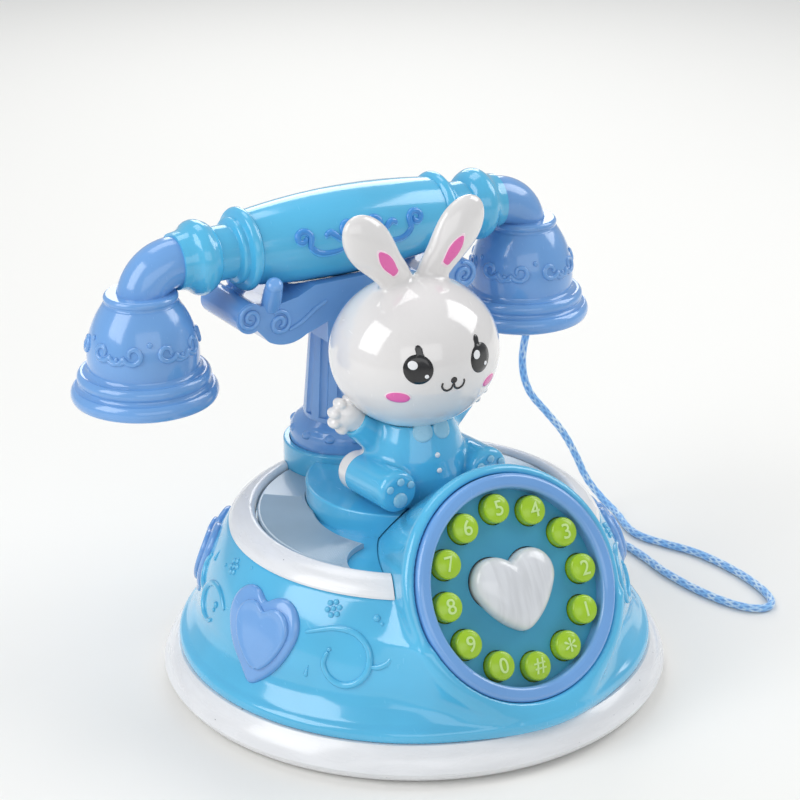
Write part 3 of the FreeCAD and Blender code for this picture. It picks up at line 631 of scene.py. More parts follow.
def parted(points: np.ndarray, faces: list, level: float, keep_low: bool) -> bpy.types.Mesh:
    """One side of a closed mesh cut by an upright plane across Y, with the cut filled.

    Args:
        points: places in millimetres.
        faces: faces by vertex number.
        level: the plane's Y.
        keep_low: whether the side below the plane is kept.

    Returns:
        The closed side.
    """
    mesh = bpy.data.meshes.new("parted")
    mesh.from_pydata(points.tolist(), [], faces)
    tool = bmesh.new()
    tool.from_mesh(mesh)
    found = bmesh.ops.bisect_plane(tool, geom=tool.verts[:] + tool.edges[:] + tool.faces[:],
                                   plane_co=(0, level, 0), plane_no=(0, 1, 0),
                                   clear_outer=keep_low, clear_inner=not keep_low)
    rim = [item for item in found["geom_cut"] if isinstance(item, bmesh.types.BMEdge)]
    bmesh.ops.holes_fill(tool, edges=rim, sides=0)
    tool.to_mesh(mesh)
    tool.free()
    return mesh


# ------------------------------------------------------------------ geometry nodes

class NodeTool:
    """A geometry-node tree that is run once on a mesh and leaves a plain mesh."""

    def __init__(self, name: str, inputs: dict[str, str]) -> None:
        """Make a tree with these named inputs, by name and socket type.

        Args:
            name: the tree's name.
            inputs: socket types by input name.
        """
        self.tree = bpy.data.node_groups.new(name, "GeometryNodeTree")
        face = self.tree.interface
        face.new_socket("Geometry", in_out="INPUT", socket_type="NodeSocketGeometry")
        face.new_socket("Geometry", in_out="OUTPUT", socket_type="NodeSocketGeometry")
        self.sockets = {key: face.new_socket(key, in_out="INPUT", socket_type=kind).identifier
                        for key, kind in inputs.items()}
        self.source = self.tree.nodes.new("NodeGroupInput")
        self.target = self.tree.nodes.new("NodeGroupOutput")

    def node(self, kind: str, settings: dict, values: dict) -> bpy.types.Node:
        """Add a node with its settings, and numbers or sockets for its inputs.

        Args:
            kind: the node's type.
            settings: its properties.
            values: numbers or sockets for its inputs, by name or index.

        Returns:
            The node.
        """
        made = self.tree.nodes.new(kind)
        for key, setting in settings.items():
            setattr(made, key, setting)
        for key, value in values.items():
            if isinstance(value, bpy.types.NodeSocket):
                self.tree.links.new(value, made.inputs[key])
            else:
                made.inputs[key].default_value = value
        return made

    def close(self, geometry: bpy.types.NodeSocket) -> None:
        """End the tree in Realize Instances, smooth shading and Set Material.

        Args:
            geometry: the geometry to finish.
        """
        real = self.node("GeometryNodeRealizeInstances", {}, {0: geometry})
        smooth = self.node("GeometryNodeSetShadeSmooth", {}, {0: real.outputs[0]})
        painted = self.node("GeometryNodeSetMaterial", {}, {
            0: smooth.outputs[0], "Material": self.source.outputs["Finish"]})
        self.tree.links.new(painted.outputs[0], self.target.inputs[0])

    def run(self, name: str, carrier: bpy.types.Mesh, values: dict, look: Look,
            body: str) -> bpy.types.Object:
        """Run the tree on a mesh.

        Args:
            name: the piece's name.
            carrier: the mesh that the tree starts from.
            values: its named inputs.
            look: its finish.
            body: the body the result rides on, or nothing.

        Returns:
            The finished piece, with no modifier on it.
        """
        holder = bpy.data.objects.new(name, carrier)
        bpy.context.scene.collection.objects.link(holder)
        modifier = holder.modifiers.new("Tool", "NODES")
        modifier.node_group = self.tree
        for key, value in {**values, "Finish": material(look)}.items():
            modifier[self.sockets[key]] = value
        mesh = plain_mesh(holder)
        holder.modifiers.remove(modifier)
        holder.data = mesh
        return dress(holder, look, body)


def line_mesh(paths: Sequence[Sequence[Spot]], widths: Sequence[Sequence[float]]) -> bpy.types.Mesh:
    """Open lines through points in millimetres, with a radius in millimetres at each.

    Args:
        paths: each line's points.
        widths: the radius at each point.

    Returns:
        A mesh of edges with the radii as its thick attribute, in metres.
    """
    mesh = bpy.data.meshes.new("lines")
    points: list[Spot] = []
    edges: list[tuple[int, int]] = []
    for path in paths:
        edges += [(len(points) + n, len(points) + n + 1) for n in range(len(path) - 1)]
        points += [tuple(np.array(spot) * MM) for spot in path]
    mesh.from_pydata(points, edges, [])
    thick = mesh.attributes.new("thick", "FLOAT", "POINT")
    thick.data.foreach_set("value", [width * MM for row in widths for width in row])
    return mesh


class Ridges:
    """Round raised lines swept along paths that lie on a surface."""

    def __init__(self) -> None:
        """Build the tree: a round section carried along each line."""
        self.tool = NodeTool("Ridges", {"Sides": "NodeSocketInt", "Finish": "NodeSocketMaterial"})
        tool = self.tool
        thick = tool.node("GeometryNodeInputNamedAttribute", {"data_type": "FLOAT"}, {"Name": "thick"})
        curve = tool.node("GeometryNodeMeshToCurve", {}, {0: tool.source.outputs[0]})
        ring = tool.node("GeometryNodeCurvePrimitiveCircle", {}, {
            "Resolution": tool.source.outputs["Sides"], "Radius": 1.0})
        swept = tool.node("GeometryNodeCurveToMesh", {}, {
            0: curve.outputs[0], 1: ring.outputs[0], "Scale": thick.outputs[0], "Fill Caps": True})
        tool.close(swept.outputs[0])

    def make(self, name: str, paths: Sequence[Sequence[Spot]], radius: float, look: Look,
             body: str = "base", taper: float = 0.45) -> bpy.types.Object:
        """Sweep every path, thinning towards both ends.

        Args:
            name: the piece's name.
            paths: lines of points in millimetres.
            radius: the section's radius at the middle.
            look: the finish.
            body: the body it rides on.
            taper: the share of the radius left at the ends.

        Returns:
            The piece.
        """
        widths = [[radius * (taper + (1 - taper) * math.sin(math.pi * n / (len(path) - 1)) ** 0.5)
                   for n in range(len(path))] for path in paths]
        return self.tool.run(name, line_mesh(paths, widths), {"Sides": 8}, look, body)


class Repeats:
    """One small shape set at many points, each facing its own way at its own size."""

    def __init__(self) -> None:
        """Build the tree: the shape on every point, realized."""
        self.tool = NodeTool("Repeats", {"Shape": "NodeSocketObject", "Overall size": "NodeSocketFloat",
                                         "Finish": "NodeSocketMaterial"})
        tool = self.tool
        facing = tool.node("GeometryNodeInputNamedAttribute", {"data_type": "FLOAT_VECTOR"},
                           {"Name": "facing"})
        size = tool.node("GeometryNodeInputNamedAttribute", {"data_type": "FLOAT"}, {"Name": "size"})
        turn = tool.node("FunctionNodeAlignRotationToVector", {"axis": "Z"},
                         {"Vector": facing.outputs[0]})
        scale = tool.node("ShaderNodeMath", {"operation": "MULTIPLY"}, {
            0: size.outputs[0], 1: tool.source.outputs["Overall size"]})
        shape = tool.node("GeometryNodeObjectInfo", {}, {"Object": tool.source.outputs["Shape"]})
        placed = tool.node("GeometryNodeInstanceOnPoints", {}, {
            "Points": tool.source.outputs[0], "Instance": shape.outputs["Geometry"],
            "Rotation": turn.outputs[0], "Scale": scale.outputs[0]})
        tool.close(placed.outputs[0])

    def make(self, name: str, shape: Shape, spots: Sequence[Spot],
             facings: Sequence[Spot], sizes: Sequence[float], look: Look,
             body: str = "base") -> bpy.types.Object:
        """Set a shape of unit size at every spot.

        Args:
            name: the piece's name.
            shape: points and faces of the shape, its own Z outwards.
            spots: places in millimetres.
            facings: outward directions.
            sizes: sizes in millimetres.
            look: the finish.
            body: the body it rides on.

        Returns:
            The piece.
        """
        pattern_mesh = bpy.data.meshes.new("pattern")
        pattern_mesh.from_pydata(np.asarray(shape[0], float).tolist(), [], shape[1])
        pattern = bpy.data.objects.new("pattern", pattern_mesh)
        mesh = bpy.data.meshes.new("spots")
        mesh.from_pydata((np.array(spots, float) * MM).tolist(), [], [])
        mesh.attributes.new("facing", "FLOAT_VECTOR", "POINT").data.foreach_set(
            "vector", np.array(facings, float).ravel())
        mesh.attributes.new("size", "FLOAT", "POINT").data.foreach_set("value", list(sizes))
        made = self.tool.run(name, mesh, {"Shape": pattern, "Overall size": MM}, look, body)
        bpy.data.objects.remove(pattern)
        return made


def domed_faces(rings: int, sides: int) -> list[list[int]]:
    """Faces of a closed dome: a fan at its top, bands of quads and a flat underside.

    Args:
        rings: how many rings of points lie below the top point.
        sides: how many points are on a ring.

    Returns:
        The faces, for points in the order of the top and then each ring.
    """
    faces = []
    for n in range(sides):
        after = (n + 1) % sides
        faces.append([0, 1 + n, 1 + after])
        for ring in range(rings - 1):
            low, up = 1 + ring * sides, 1 + (ring + 1) * sides
            faces.append([low + n, up + n, up + after, low + after])
    faces.append(list(reversed(range(1 + (rings - 1) * sides, 1 + rings * sides))))
    return faces


def dome_bead(rings: int = 4, sides: int = 12, height: float = 0.75) -> Shape:
    """A low round bead of unit radius that sits on its own XY plane, closed below.

    Args:
        rings: rings of points below the top.
        sides: points on a ring.
        height: the bead's height.

    Returns:
        Points and faces.
    """
    points = [(0.0, 0.0, height)]
    for ring in range(1, rings + 1):
        angle = 0.5 * math.pi * ring / rings
        points += [(math.sin(angle) * math.cos(2 * math.pi * n / sides),
                    math.sin(angle) * math.sin(2 * math.pi * n / sides),
                    height * math.cos(angle) - (0.2 if ring == rings else 0.0)) for n in range(sides)]
    return np.array(points), domed_faces(rings, sides)


# ------------------------------------------------------------------ surfaces and shapes on them

def mounded(outline: Sequence[Flat], surface: Surface, profile: Sequence[Flat]) -> Shape:
    """A closed mound over a star-shaped outline on a surface.

    Args:
        outline: the outline, counter-clockwise seen from outside.
        surface: gives a point for across, up and height.
        profile: share of the way from the middle to the outline, and height, from the middle out.

    Returns:
        Points and faces.
    """
    middle = np.mean(np.array(outline), axis=0)
    points = [surface(middle[0], middle[1], profile[0][1])]
    for share, height in profile[1:]:
        for across, up in outline:
            x, y = middle + (np.array([across, up]) - middle) * share
            points.append(surface(x, y, height))
    return np.array(points), domed_faces(len(profile) - 1, len(outline))


def oval(centre: Flat, wide: float, tall: float, lean: float = 0.0,
         count: int = 40) -> list[Flat]:
    """An oval outline by its half width and half height, leaning by degrees.

    Args:
        centre: its middle.
        wide: half its width.
        tall: half its height.
        lean: its turn in degrees.
        count: how many points.

    Returns:
        The outline, counter-clockwise.
    """
    cosine, sine = math.cos(math.radians(lean)), math.sin(math.radians(lean))
    spots = []
    for n in range(count):
        x = wide * math.cos(2 * math.pi * n / count)
        y = tall * math.sin(2 * math.pi * n / count)
        spots.append((centre[0] + x * cosine - y * sine, centre[1] + x * sine + y * cosine))
    return spots


def heart_outline(width: float, drop: float, slant: float, count: int = 120) -> list[Flat]:
    """A fat heart: two round lobes level with the origin and two bowed sides down to a soft point.

    Args:
        width: its full width.
        drop: how far the point lies below the lobes' centres.
        slant: how far below level, in degrees, the sides take over from the lobes.
        count: how many points to give back.

    Returns:
        The outline, counter-clockwise.
    """
    lobe, middle = 0.27 * width, 0.23 * width
    notch = math.degrees(math.acos(-middle / lobe))
    right = [(middle + lobe * math.cos(math.radians(turn)), lobe * math.sin(math.radians(turn)))
             for turn in np.linspace(-slant, notch, 60)]
    start, tip = np.array(right[0]), np.array([0.0, -drop])
    bow = np.array([start[1] - tip[1], -(start[0] - tip[0])]) * 0.085
    side = [tuple(tip + (start - tip) * t + bow * 4 * t * (1 - t)) for t in np.linspace(0, 1, 40)[:-1]]
    half = np.array(side + right)
    whole = np.concatenate([half, (half * (-1, 1))[::-1][1:-1]])
    loop = np.concatenate([whole, whole[:1]])
    run = np.concatenate([[0.0], np.cumsum(np.linalg.norm(np.diff(loop, axis=0), axis=1))])
    even = np.linspace(0, run[-1], count, endpoint=False)
    spots = np.stack([np.interp(even, run, loop[:, axis]) for axis in range(2)], 1)
    for _ in range(12):
        spots = 0.5 * spots + 0.25 * (np.roll(spots, 1, 0) + np.roll(spots, -1, 0))
    return [tuple(spot) for spot in spots]


def arc_centre(low: Flat, high: Flat, radius: float) -> np.ndarray:
    """The centre, on the axis side, of an arc of that radius from one profile point up to another.

    Args:
        low: the lower point's radius and height.
        high: the upper point's radius and height.
        radius: the arc's radius.

    Returns:
        The centre's radius and height.
    """
    start, chord = np.array(low), np.array(high) - np.array(low)
    length = float(np.linalg.norm(chord))
    inward = np.array([-chord[1], chord[0]]) / length
    return start + chord / 2 + inward * math.sqrt(radius ** 2 - (length / 2) ** 2)


def curl(centre: Flat, radius: float, start: float, turns: float, shrink: float,
         count: int = 60) -> list[Flat]:
    """A spiral about a centre, from a start angle in degrees, closing in by a share of its radius.

    Args:
        centre: its middle.
        radius: its reach at the start.
        start: the angle that it starts at, in degrees.
        turns: how many times round, negative for clockwise.
        shrink: the share of the reach lost by the end.
        count: how many steps.

    Returns:
        The spiral's points.
    """
    spots = []
    for n in range(count + 1):
        share = n / count
        angle = math.radians(start + 360 * turns * share)
        reach = radius * (1 - shrink * share)
        spots.append((centre[0] + reach * math.cos(angle), centre[1] + reach * math.sin(angle)))
    return spots


def smooth_path(corners: Sequence[Sequence[float]], count: int = 12) -> list[tuple[float, ...]]:
    """A smooth line through corners, with that many points to each stretch.

    Args:
        corners: the points that it passes through.
        count: points to each stretch.

    Returns:
        The line's points.
    """
    spots = [np.array(corner, float) for corner in corners]
    spots = [2 * spots[0] - spots[1], *spots, 2 * spots[-1] - spots[-2]]
    line = []
    for n in range(1, len(spots) - 2):
        a, b, c, d = spots[n - 1:n + 3]
        for step in range(count):
            t = step / count
            line.append(tuple(0.5 * (2 * b + (c - a) * t + (2 * a - 5 * b + 4 * c - d) * t ** 2
                                     + (3 * b - a - 3 * c + d) * t ** 3)))
    line.append(tuple(spots[-2]))
    return line


# ------------------------------------------------------------------ base

@dataclass
class Base:
    """The domed base: shell, rings, deck, lenses, plaques and raised ornament."""

    floor: float = 13.0
    shoulder: float = 56.4
    bulge: float = 58.0
    waist: tuple[float, float] = (76.6, 27.0)
    brow: tuple[float, float] = (65.5, 56.4)
    dial: Spot = (0.0, -63.96, 55.59)
    tilt: float = 61.61
    drum: tuple[float, float, float] = (42.3, 34.6, 46.0)
    pocket: tuple[float, float] = (38.3, 12.5)
    flare: float = 15.0
    cell: float = 1.0
    foot_rows: tuple[float, ...] = (0, 13, 16, 17.4, 18.1, 20.6, 23, 25.2, 27)
    foot_radii: tuple[float, ...] = (84.2, 84.4, 84.3, 83.5, 82.0, 80.0, 78.1, 77.1, 76.6)
    plaque_height: float = 42.8
    plaque_turns: tuple[tuple[str, float], ...] = (("front", 76.5), ("rear", 131.0))
    plaque_radius: float = 74.0
    curl_radius: float = 1.25
    flower_reach: Flat = (2.15, 2.0)
    rib_step: float = 0.75
    rib_size: Flat = (0.26, 0.34)

    def __post_init__(self) -> None:
        """Work out the bulge's centre and the dial's directions."""
        self.centre = arc_centre(self.waist, self.brow, self.bulge)
        turn = math.radians(self.tilt)
        self.out = np.array([0.0, -math.sin(turn), math.cos(turn)])
        self.up = np.array([0.0, math.cos(turn), math.sin(turn)])

    def radius(self, height: np.ndarray) -> np.ndarray:
        """The dome's radius at a height.

        Args:
            height: a height in millimetres.

        Returns:
            The radius there.
        """
        arc = self.centre[0] + np.sqrt(np.maximum(self.bulge ** 2 - (height - self.centre[1]) ** 2, 1.0))
        rows = np.linspace(0.0, 27.0, 109)
        sharp = np.interp(rows, self.foot_rows, self.foot_radii)
        eased = np.convolve(np.pad(sharp, 2, mode="edge"), np.full(5, 0.2), mode="valid")
        foot = np.interp(height, rows, eased)
        return np.where(height > self.waist[1], arc, foot)

    def on_dome(self, azimuth: float, height: float, lift: float = 0.0) -> Spot:
        """A point of the dome at an azimuth from the front, towards the right, and a height.

        Args:
            azimuth: the way round from the front, in degrees.
            height: a height in millimetres.
            lift: how far out from the surface.

        Returns:
            The place.
        """
        nudge = 0.1
        radius = float(self.radius(np.array(height)))
        slope = (float(self.radius(np.array(height + nudge))) - radius) / nudge
        outward = 1 / math.hypot(1, slope)
        reach = radius + lift * outward
        turn = math.radians(azimuth)
        return (reach * math.sin(turn), -reach * math.cos(turn), height - lift * slope * outward)

    def field(self, points: np.ndarray) -> np.ndarray:
        """The shell's outside: dome and dial drum, flared into each other, less the dial's pocket.

        Args:
            points: places in millimetres.

        Returns:
            Signed distance, nearly, in millimetres.
        """
        height = points[:, 2]
        dome = np.hypot(points[:, 0], points[:, 1]) - self.radius(height)
        dome = soft_most(dome, height - self.shoulder, 1.0)
        local = points - np.array(self.dial)
        out, up = local @ self.out, local @ self.up
        off = np.hypot(points[:, 0], up)
        front, back, depth = self.drum
        radius = front + (back - front) * np.clip(-out / depth, 0, 1)
        drum = soft_most(off - radius, out, 4.0)
        drum = np.maximum(drum, -depth - out)
        width = self.flare + (0.8 - self.flare) * np.clip((height - 45) / 11, 0, 1) ** 0.7
        whole = soft_least(dome, drum, width)
        whole = soft_most(whole, self.floor - height, 1.4)
        hollow = np.maximum(off - self.pocket[0], -self.pocket[1] - out)
        return soft_most(whole, -hollow, 1.6)

    def build(self, ridges: Ridges, repeats: Repeats) -> None:
        """Make every piece of the base.

        Args:
            ridges: the tool for swept lines.
            repeats: the tool for repeated shapes.
        """
        points, faces = skin(self.field, (-88, -92, 11), (88, 88, 96), self.cell)
        shell = piece("base_shell_skin", points, faces, Look.SHELL)
        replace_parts(shell, "base_shell")
        self.plaques()
        self.ornament(ridges, repeats)
        self.lenses()

    def plaques(self) -> None:
        """Puffy hearts with a smaller heart raised inside, set to one side."""
        for row, azimuth in self.plaque_turns:
            for side, sign in (("left", -1), ("right", 1)):
                def surface(across: float, up: float, lift: float, turn: float = azimuth * sign) -> Spot:
                    """A place on the dome under the heart."""
                    return self.on_dome(turn + math.degrees(across / self.plaque_radius),
                                        self.plaque_height + up * 0.97, lift)

                big = heart_outline(33.4, 23.4, 26.0)
                rim = [(0.0, 2.0), (0.5, 2.0), (0.84, 2.0), (0.9, 1.9), (0.95, 1.55), (0.985, 0.9),
                       (1.0, -0.5)]
                small = [(x - 1.8 * sign, y - 1.2) for x, y in heart_outline(23.6, 16.6, 26.0)]
                inner = [(0.0, 3.0), (0.6, 3.0), (0.8, 3.0), (0.86, 3.3), (0.91, 3.4), (0.96, 3.2),
                         (0.99, 2.6), (1.0, 1.2)]
                shape = joined([mounded(big, surface, rim), mounded(small, surface, inner)])
                made = piece(f"heart_plaque_{row}_{side}_skin", *shape, Look.PERIWINKLE)
                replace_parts(made, f"heart_plaque_{row}_{side}")

    def ornament(self, ridges: Ridges, repeats: Repeats) -> None:
        """Raised curls, bead flowers and drops on the dome, the same on both sides.

        Args:
            ridges: the tool for swept lines.
            repeats: the tool for repeated shapes.
        """
        curls = [
            [(-54.8, 39.1), (-55.4, 37.8), (-55.8, 35.0), (-54.6, 31.8), (-52.4, 29.6), (-49.6, 29.0),
             (-46.6, 30.6), (-44.3, 34.2), (-43.6, 38.5), (-44.4, 42.4), (-46.8, 45.4), (-50.0, 46.7),
             (-54.0, 46.7), (-58.0, 45.4), (-62.0, 43.7)],
            [(-43.6, 36.3), (-41.4, 36.4), (-39.0, 38.0), (-37.5, 41.0), (-37.6, 43.6), (-39.0, 45.8)],
            [(-93.0, 38.0), (-96.0, 40.8), (-100.0, 42.2), (-104.6, 41.2), (-108.0, 37.6), (-108.8, 33.0),
             (-106.6, 29.4), (-102.8, 28.6), (-99.6, 30.4)],
            [(-109.0, 36.0), (-112.4, 35.6), (-115.4, 37.6), (-116.8, 41.6), (-115.4, 45.0)],
            [(-151.0, 37.0), (-154.0, 41.0), (-158.6, 43.0), (-163.0, 40.6), (-164.6, 36.0),
             (-162.4, 31.6), (-158.4, 30.6)],
        ]
        flowers = [(-55.2, 52.2), (-96.1, 51.5), (-148.0, 50.0)]
        beads = [(-42.6, 51.2, 1.3), (-41.0, 49.6, 0.8), (-37.0, 46.6, 0.6), (-39.2, 46.6, 0.9),
                 (-54.6, 40.0, 0.8), (-98.3, 36.8, 1.3), (-99.0, 34.6, 0.9), (-115.0, 45.6, 0.9),
                 (-88.0, 54.6, 0.6), (-101.0, 49.6, 0.7)]
        drops = [(-60.5, 30.0), (-36.1, 31.7), (-110.0, 47.0), (-143.0, 31.0)]
        for side, sign in (("left", 1), ("right", -1)):
            paths = [[self.on_dome(sign * turn, height, 0.0)
                      for turn, height in smooth_path(path, 8)] for path in curls]
            ridges.make(f"dome_curls_{side}", paths, self.curl_radius, Look.SHELL)
            spots, facings, sizes = [], [], []

            def add(turn: float, height: float, size: float) -> None:
                """One bead on the dome.

                Args:
                    turn: the way round, in degrees from the front.
                    height: a height in millimetres.
                    size: its size in millimetres.
                """
                here = np.array(self.on_dome(sign * turn, height))
                over = np.array(self.on_dome(sign * turn, height, 1.0))
                spots.append(tuple(here))
                facings.append(tuple(over - here))
                sizes.append(size)

            for turn, height, size in beads:
                add(turn, height, size)
            for turn, height in flowers:
                add(turn, height, 0.95)
                for n in range(6):
                    angle = math.pi * n / 3 + 0.3
                    add(turn + math.degrees(self.flower_reach[0] * math.cos(angle) / 70),
                        height + self.flower_reach[1] * math.sin(angle), 1.05)
            for turn, height in drops:
                for n in range(5):
                    add(turn + 0.12 * n, height + 0.75 * n, 0.85 - 0.13 * n)
            repeats.make(f"dome_beads_{side}", dome_bead(), spots, facings, sizes, Look.SHELL)

    def lenses(self) -> None:
        """Fine ribs across the frosted crescents."""
        bar = (np.array([[x, y, z] for x in (-0.5, 0.5) for y, z in ((-1, -0.4), (0, 0.55), (1, -0.4))]),
               [[0, 1, 4, 3], [1, 2, 5, 4], [2, 0, 3, 5], [0, 2, 1], [3, 4, 5]])
        for side, sign in (("left", -1), ("right", 1)):
            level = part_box(f"light_lens_{side}")[1].z / MM
            half_width, half_height = self.rib_size
            parts = []
            for turn in np.arange(24.0, 132.0, self.rib_step):
                angle = math.radians(turn)
                first, last = self.rib_span(turn, sign)
                if last - first < 2:
                    continue
                reach = np.array([sign * math.sin(angle), -math.cos(angle), 0.0])
                side_way = np.array([-reach[1], reach[0], 0.0])
                middle = reach * (first + last) / 2 + np.array([0, 0, level])
                spots = (middle + bar[0][:, :1] * (last - first) * reach
                         + bar[0][:, 1:2] * half_width * side_way
                         + bar[0][:, 2:] * half_height * np.array([0, 0, 1.0]))
                parts.append((spots, bar[1]))
            piece(f"lens_ribs_{side}", *joined(parts), Look.LENS, smooth=False)

    def rib_span(self, turn: float, sign: int) -> tuple[float, float]:
        """Where a rib at an azimuth starts and ends on the lens, clear of what stands in it.

        Args:
            turn: the rib's way round, in degrees from the front.
            sign: -1 for the left side and 1 for the right.

        Returns:
            Where it starts and ends, as distances from the axis, or nought twice.
        """
        angle = math.radians(turn)
        way = np.array([sign * math.sin(angle), -math.cos(angle)])
        reach = np.linspace(36.3, 54.4, 120)
        spots = reach[:, None] * way
        clear = np.ones(len(reach), bool)
        for middle, radius in (((sign * 27.5, -34.5), 18.6), ((0.0, 11.0), 34.0), ((0.0, 49.3), 22.9)):
            clear &= np.hypot(*(spots - np.array(middle)).T) > radius
        kept = reach[clear]
        if not len(kept):
            return 0.0, 0.0
        return float(kept.min()), float(kept.max())


# ------------------------------------------------------------------ dial

@dataclass
class Dial:
    """The dial's numerals and its pearl heart."""

    base: Base
    circle: float = 27.0
    top: float = 1.6
    tall: float = 5.2
    order: tuple[str, ...] = ("5", "4", "3", "2", "1", "star", "hash", "0", "9", "8", "7", "6")

    def on_dial(self, across: float, up: float, out: float) -> Spot:
        """A place in the dial's own frame."""
        spot = np.array(self.base.dial) + self.base.up * up + self.base.out * out
        return (float(spot[0]) + across, float(spot[1]), float(spot[2]))

    def build(self) -> None:
        """Make the numerals and the heart."""
        for number, name in enumerate(self.order):
            angle = math.radians(30 * number)
            self.numeral(name, self.circle * math.sin(angle), self.circle * math.cos(angle))
        outline = [(x, y + 3.4) for x, y in heart_outline(32.0, 18.8, 40.0)]
        rim = [(0.0, 4.2), (0.25, 4.1), (0.5, 3.75), (0.68, 3.25), (0.8, 2.7), (0.89, 2.0), (0.95, 1.2),
               (0.985, 0.1), (1.0, -1.4), (1.0, -5.0)]
        heart = piece("heart_button_skin", *mounded(outline, self.on_dial, rim), Look.HEART, "heart_button")
        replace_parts(heart, "heart_button")

    def numeral(self, name: str, across: float, up: float) -> None:
        """A raised numeral on one key.

        Args:
            name: the key's name.
            across: the key's place sideways.
            up: the key's place up the dial.
        """
        sign = {"star": "*", "hash": "#"}.get(name, name)
        curve = bpy.data.curves.new(f"numeral_{name}", "FONT")
        curve.body = sign
        curve.size = self.tall * (2.1 if sign == "*" else 1.4)
        curve.align_x = "CENTER"
        curve.extrude = 0.3
        curve.bevel_depth = 0.05
        curve.bevel_resolution = 1
        curve.offset = -0.02
        holder = bpy.data.objects.new("text", curve)
        bpy.context.scene.collection.objects.link(holder)
        mesh = plain_mesh(holder)
        bpy.data.objects.remove(holder)
        spots = np.array([v.co for v in mesh.vertices])
        middle = (spots.max(0) + spots.min(0)) / 2
        spots -= np.array([middle[0], middle[1], 0])
        crown = 0.6 * (spots[:, 0] ** 2 + spots[:, 1] ** 2) / 14.0
        placed = [self.on_dial(across + x, up + y, self.top - 0.02 + z - drop)
                  for (x, y, z), drop in zip(spots, crown)]
        faces = [list(face.vertices) for face in mesh.polygons]
        piece(f"numeral_{name}", np.array(placed), faces, Look.NUMERAL, BODY_OF[f"key_{name}"], False)


# ------------------------------------------------------------------ rabbit

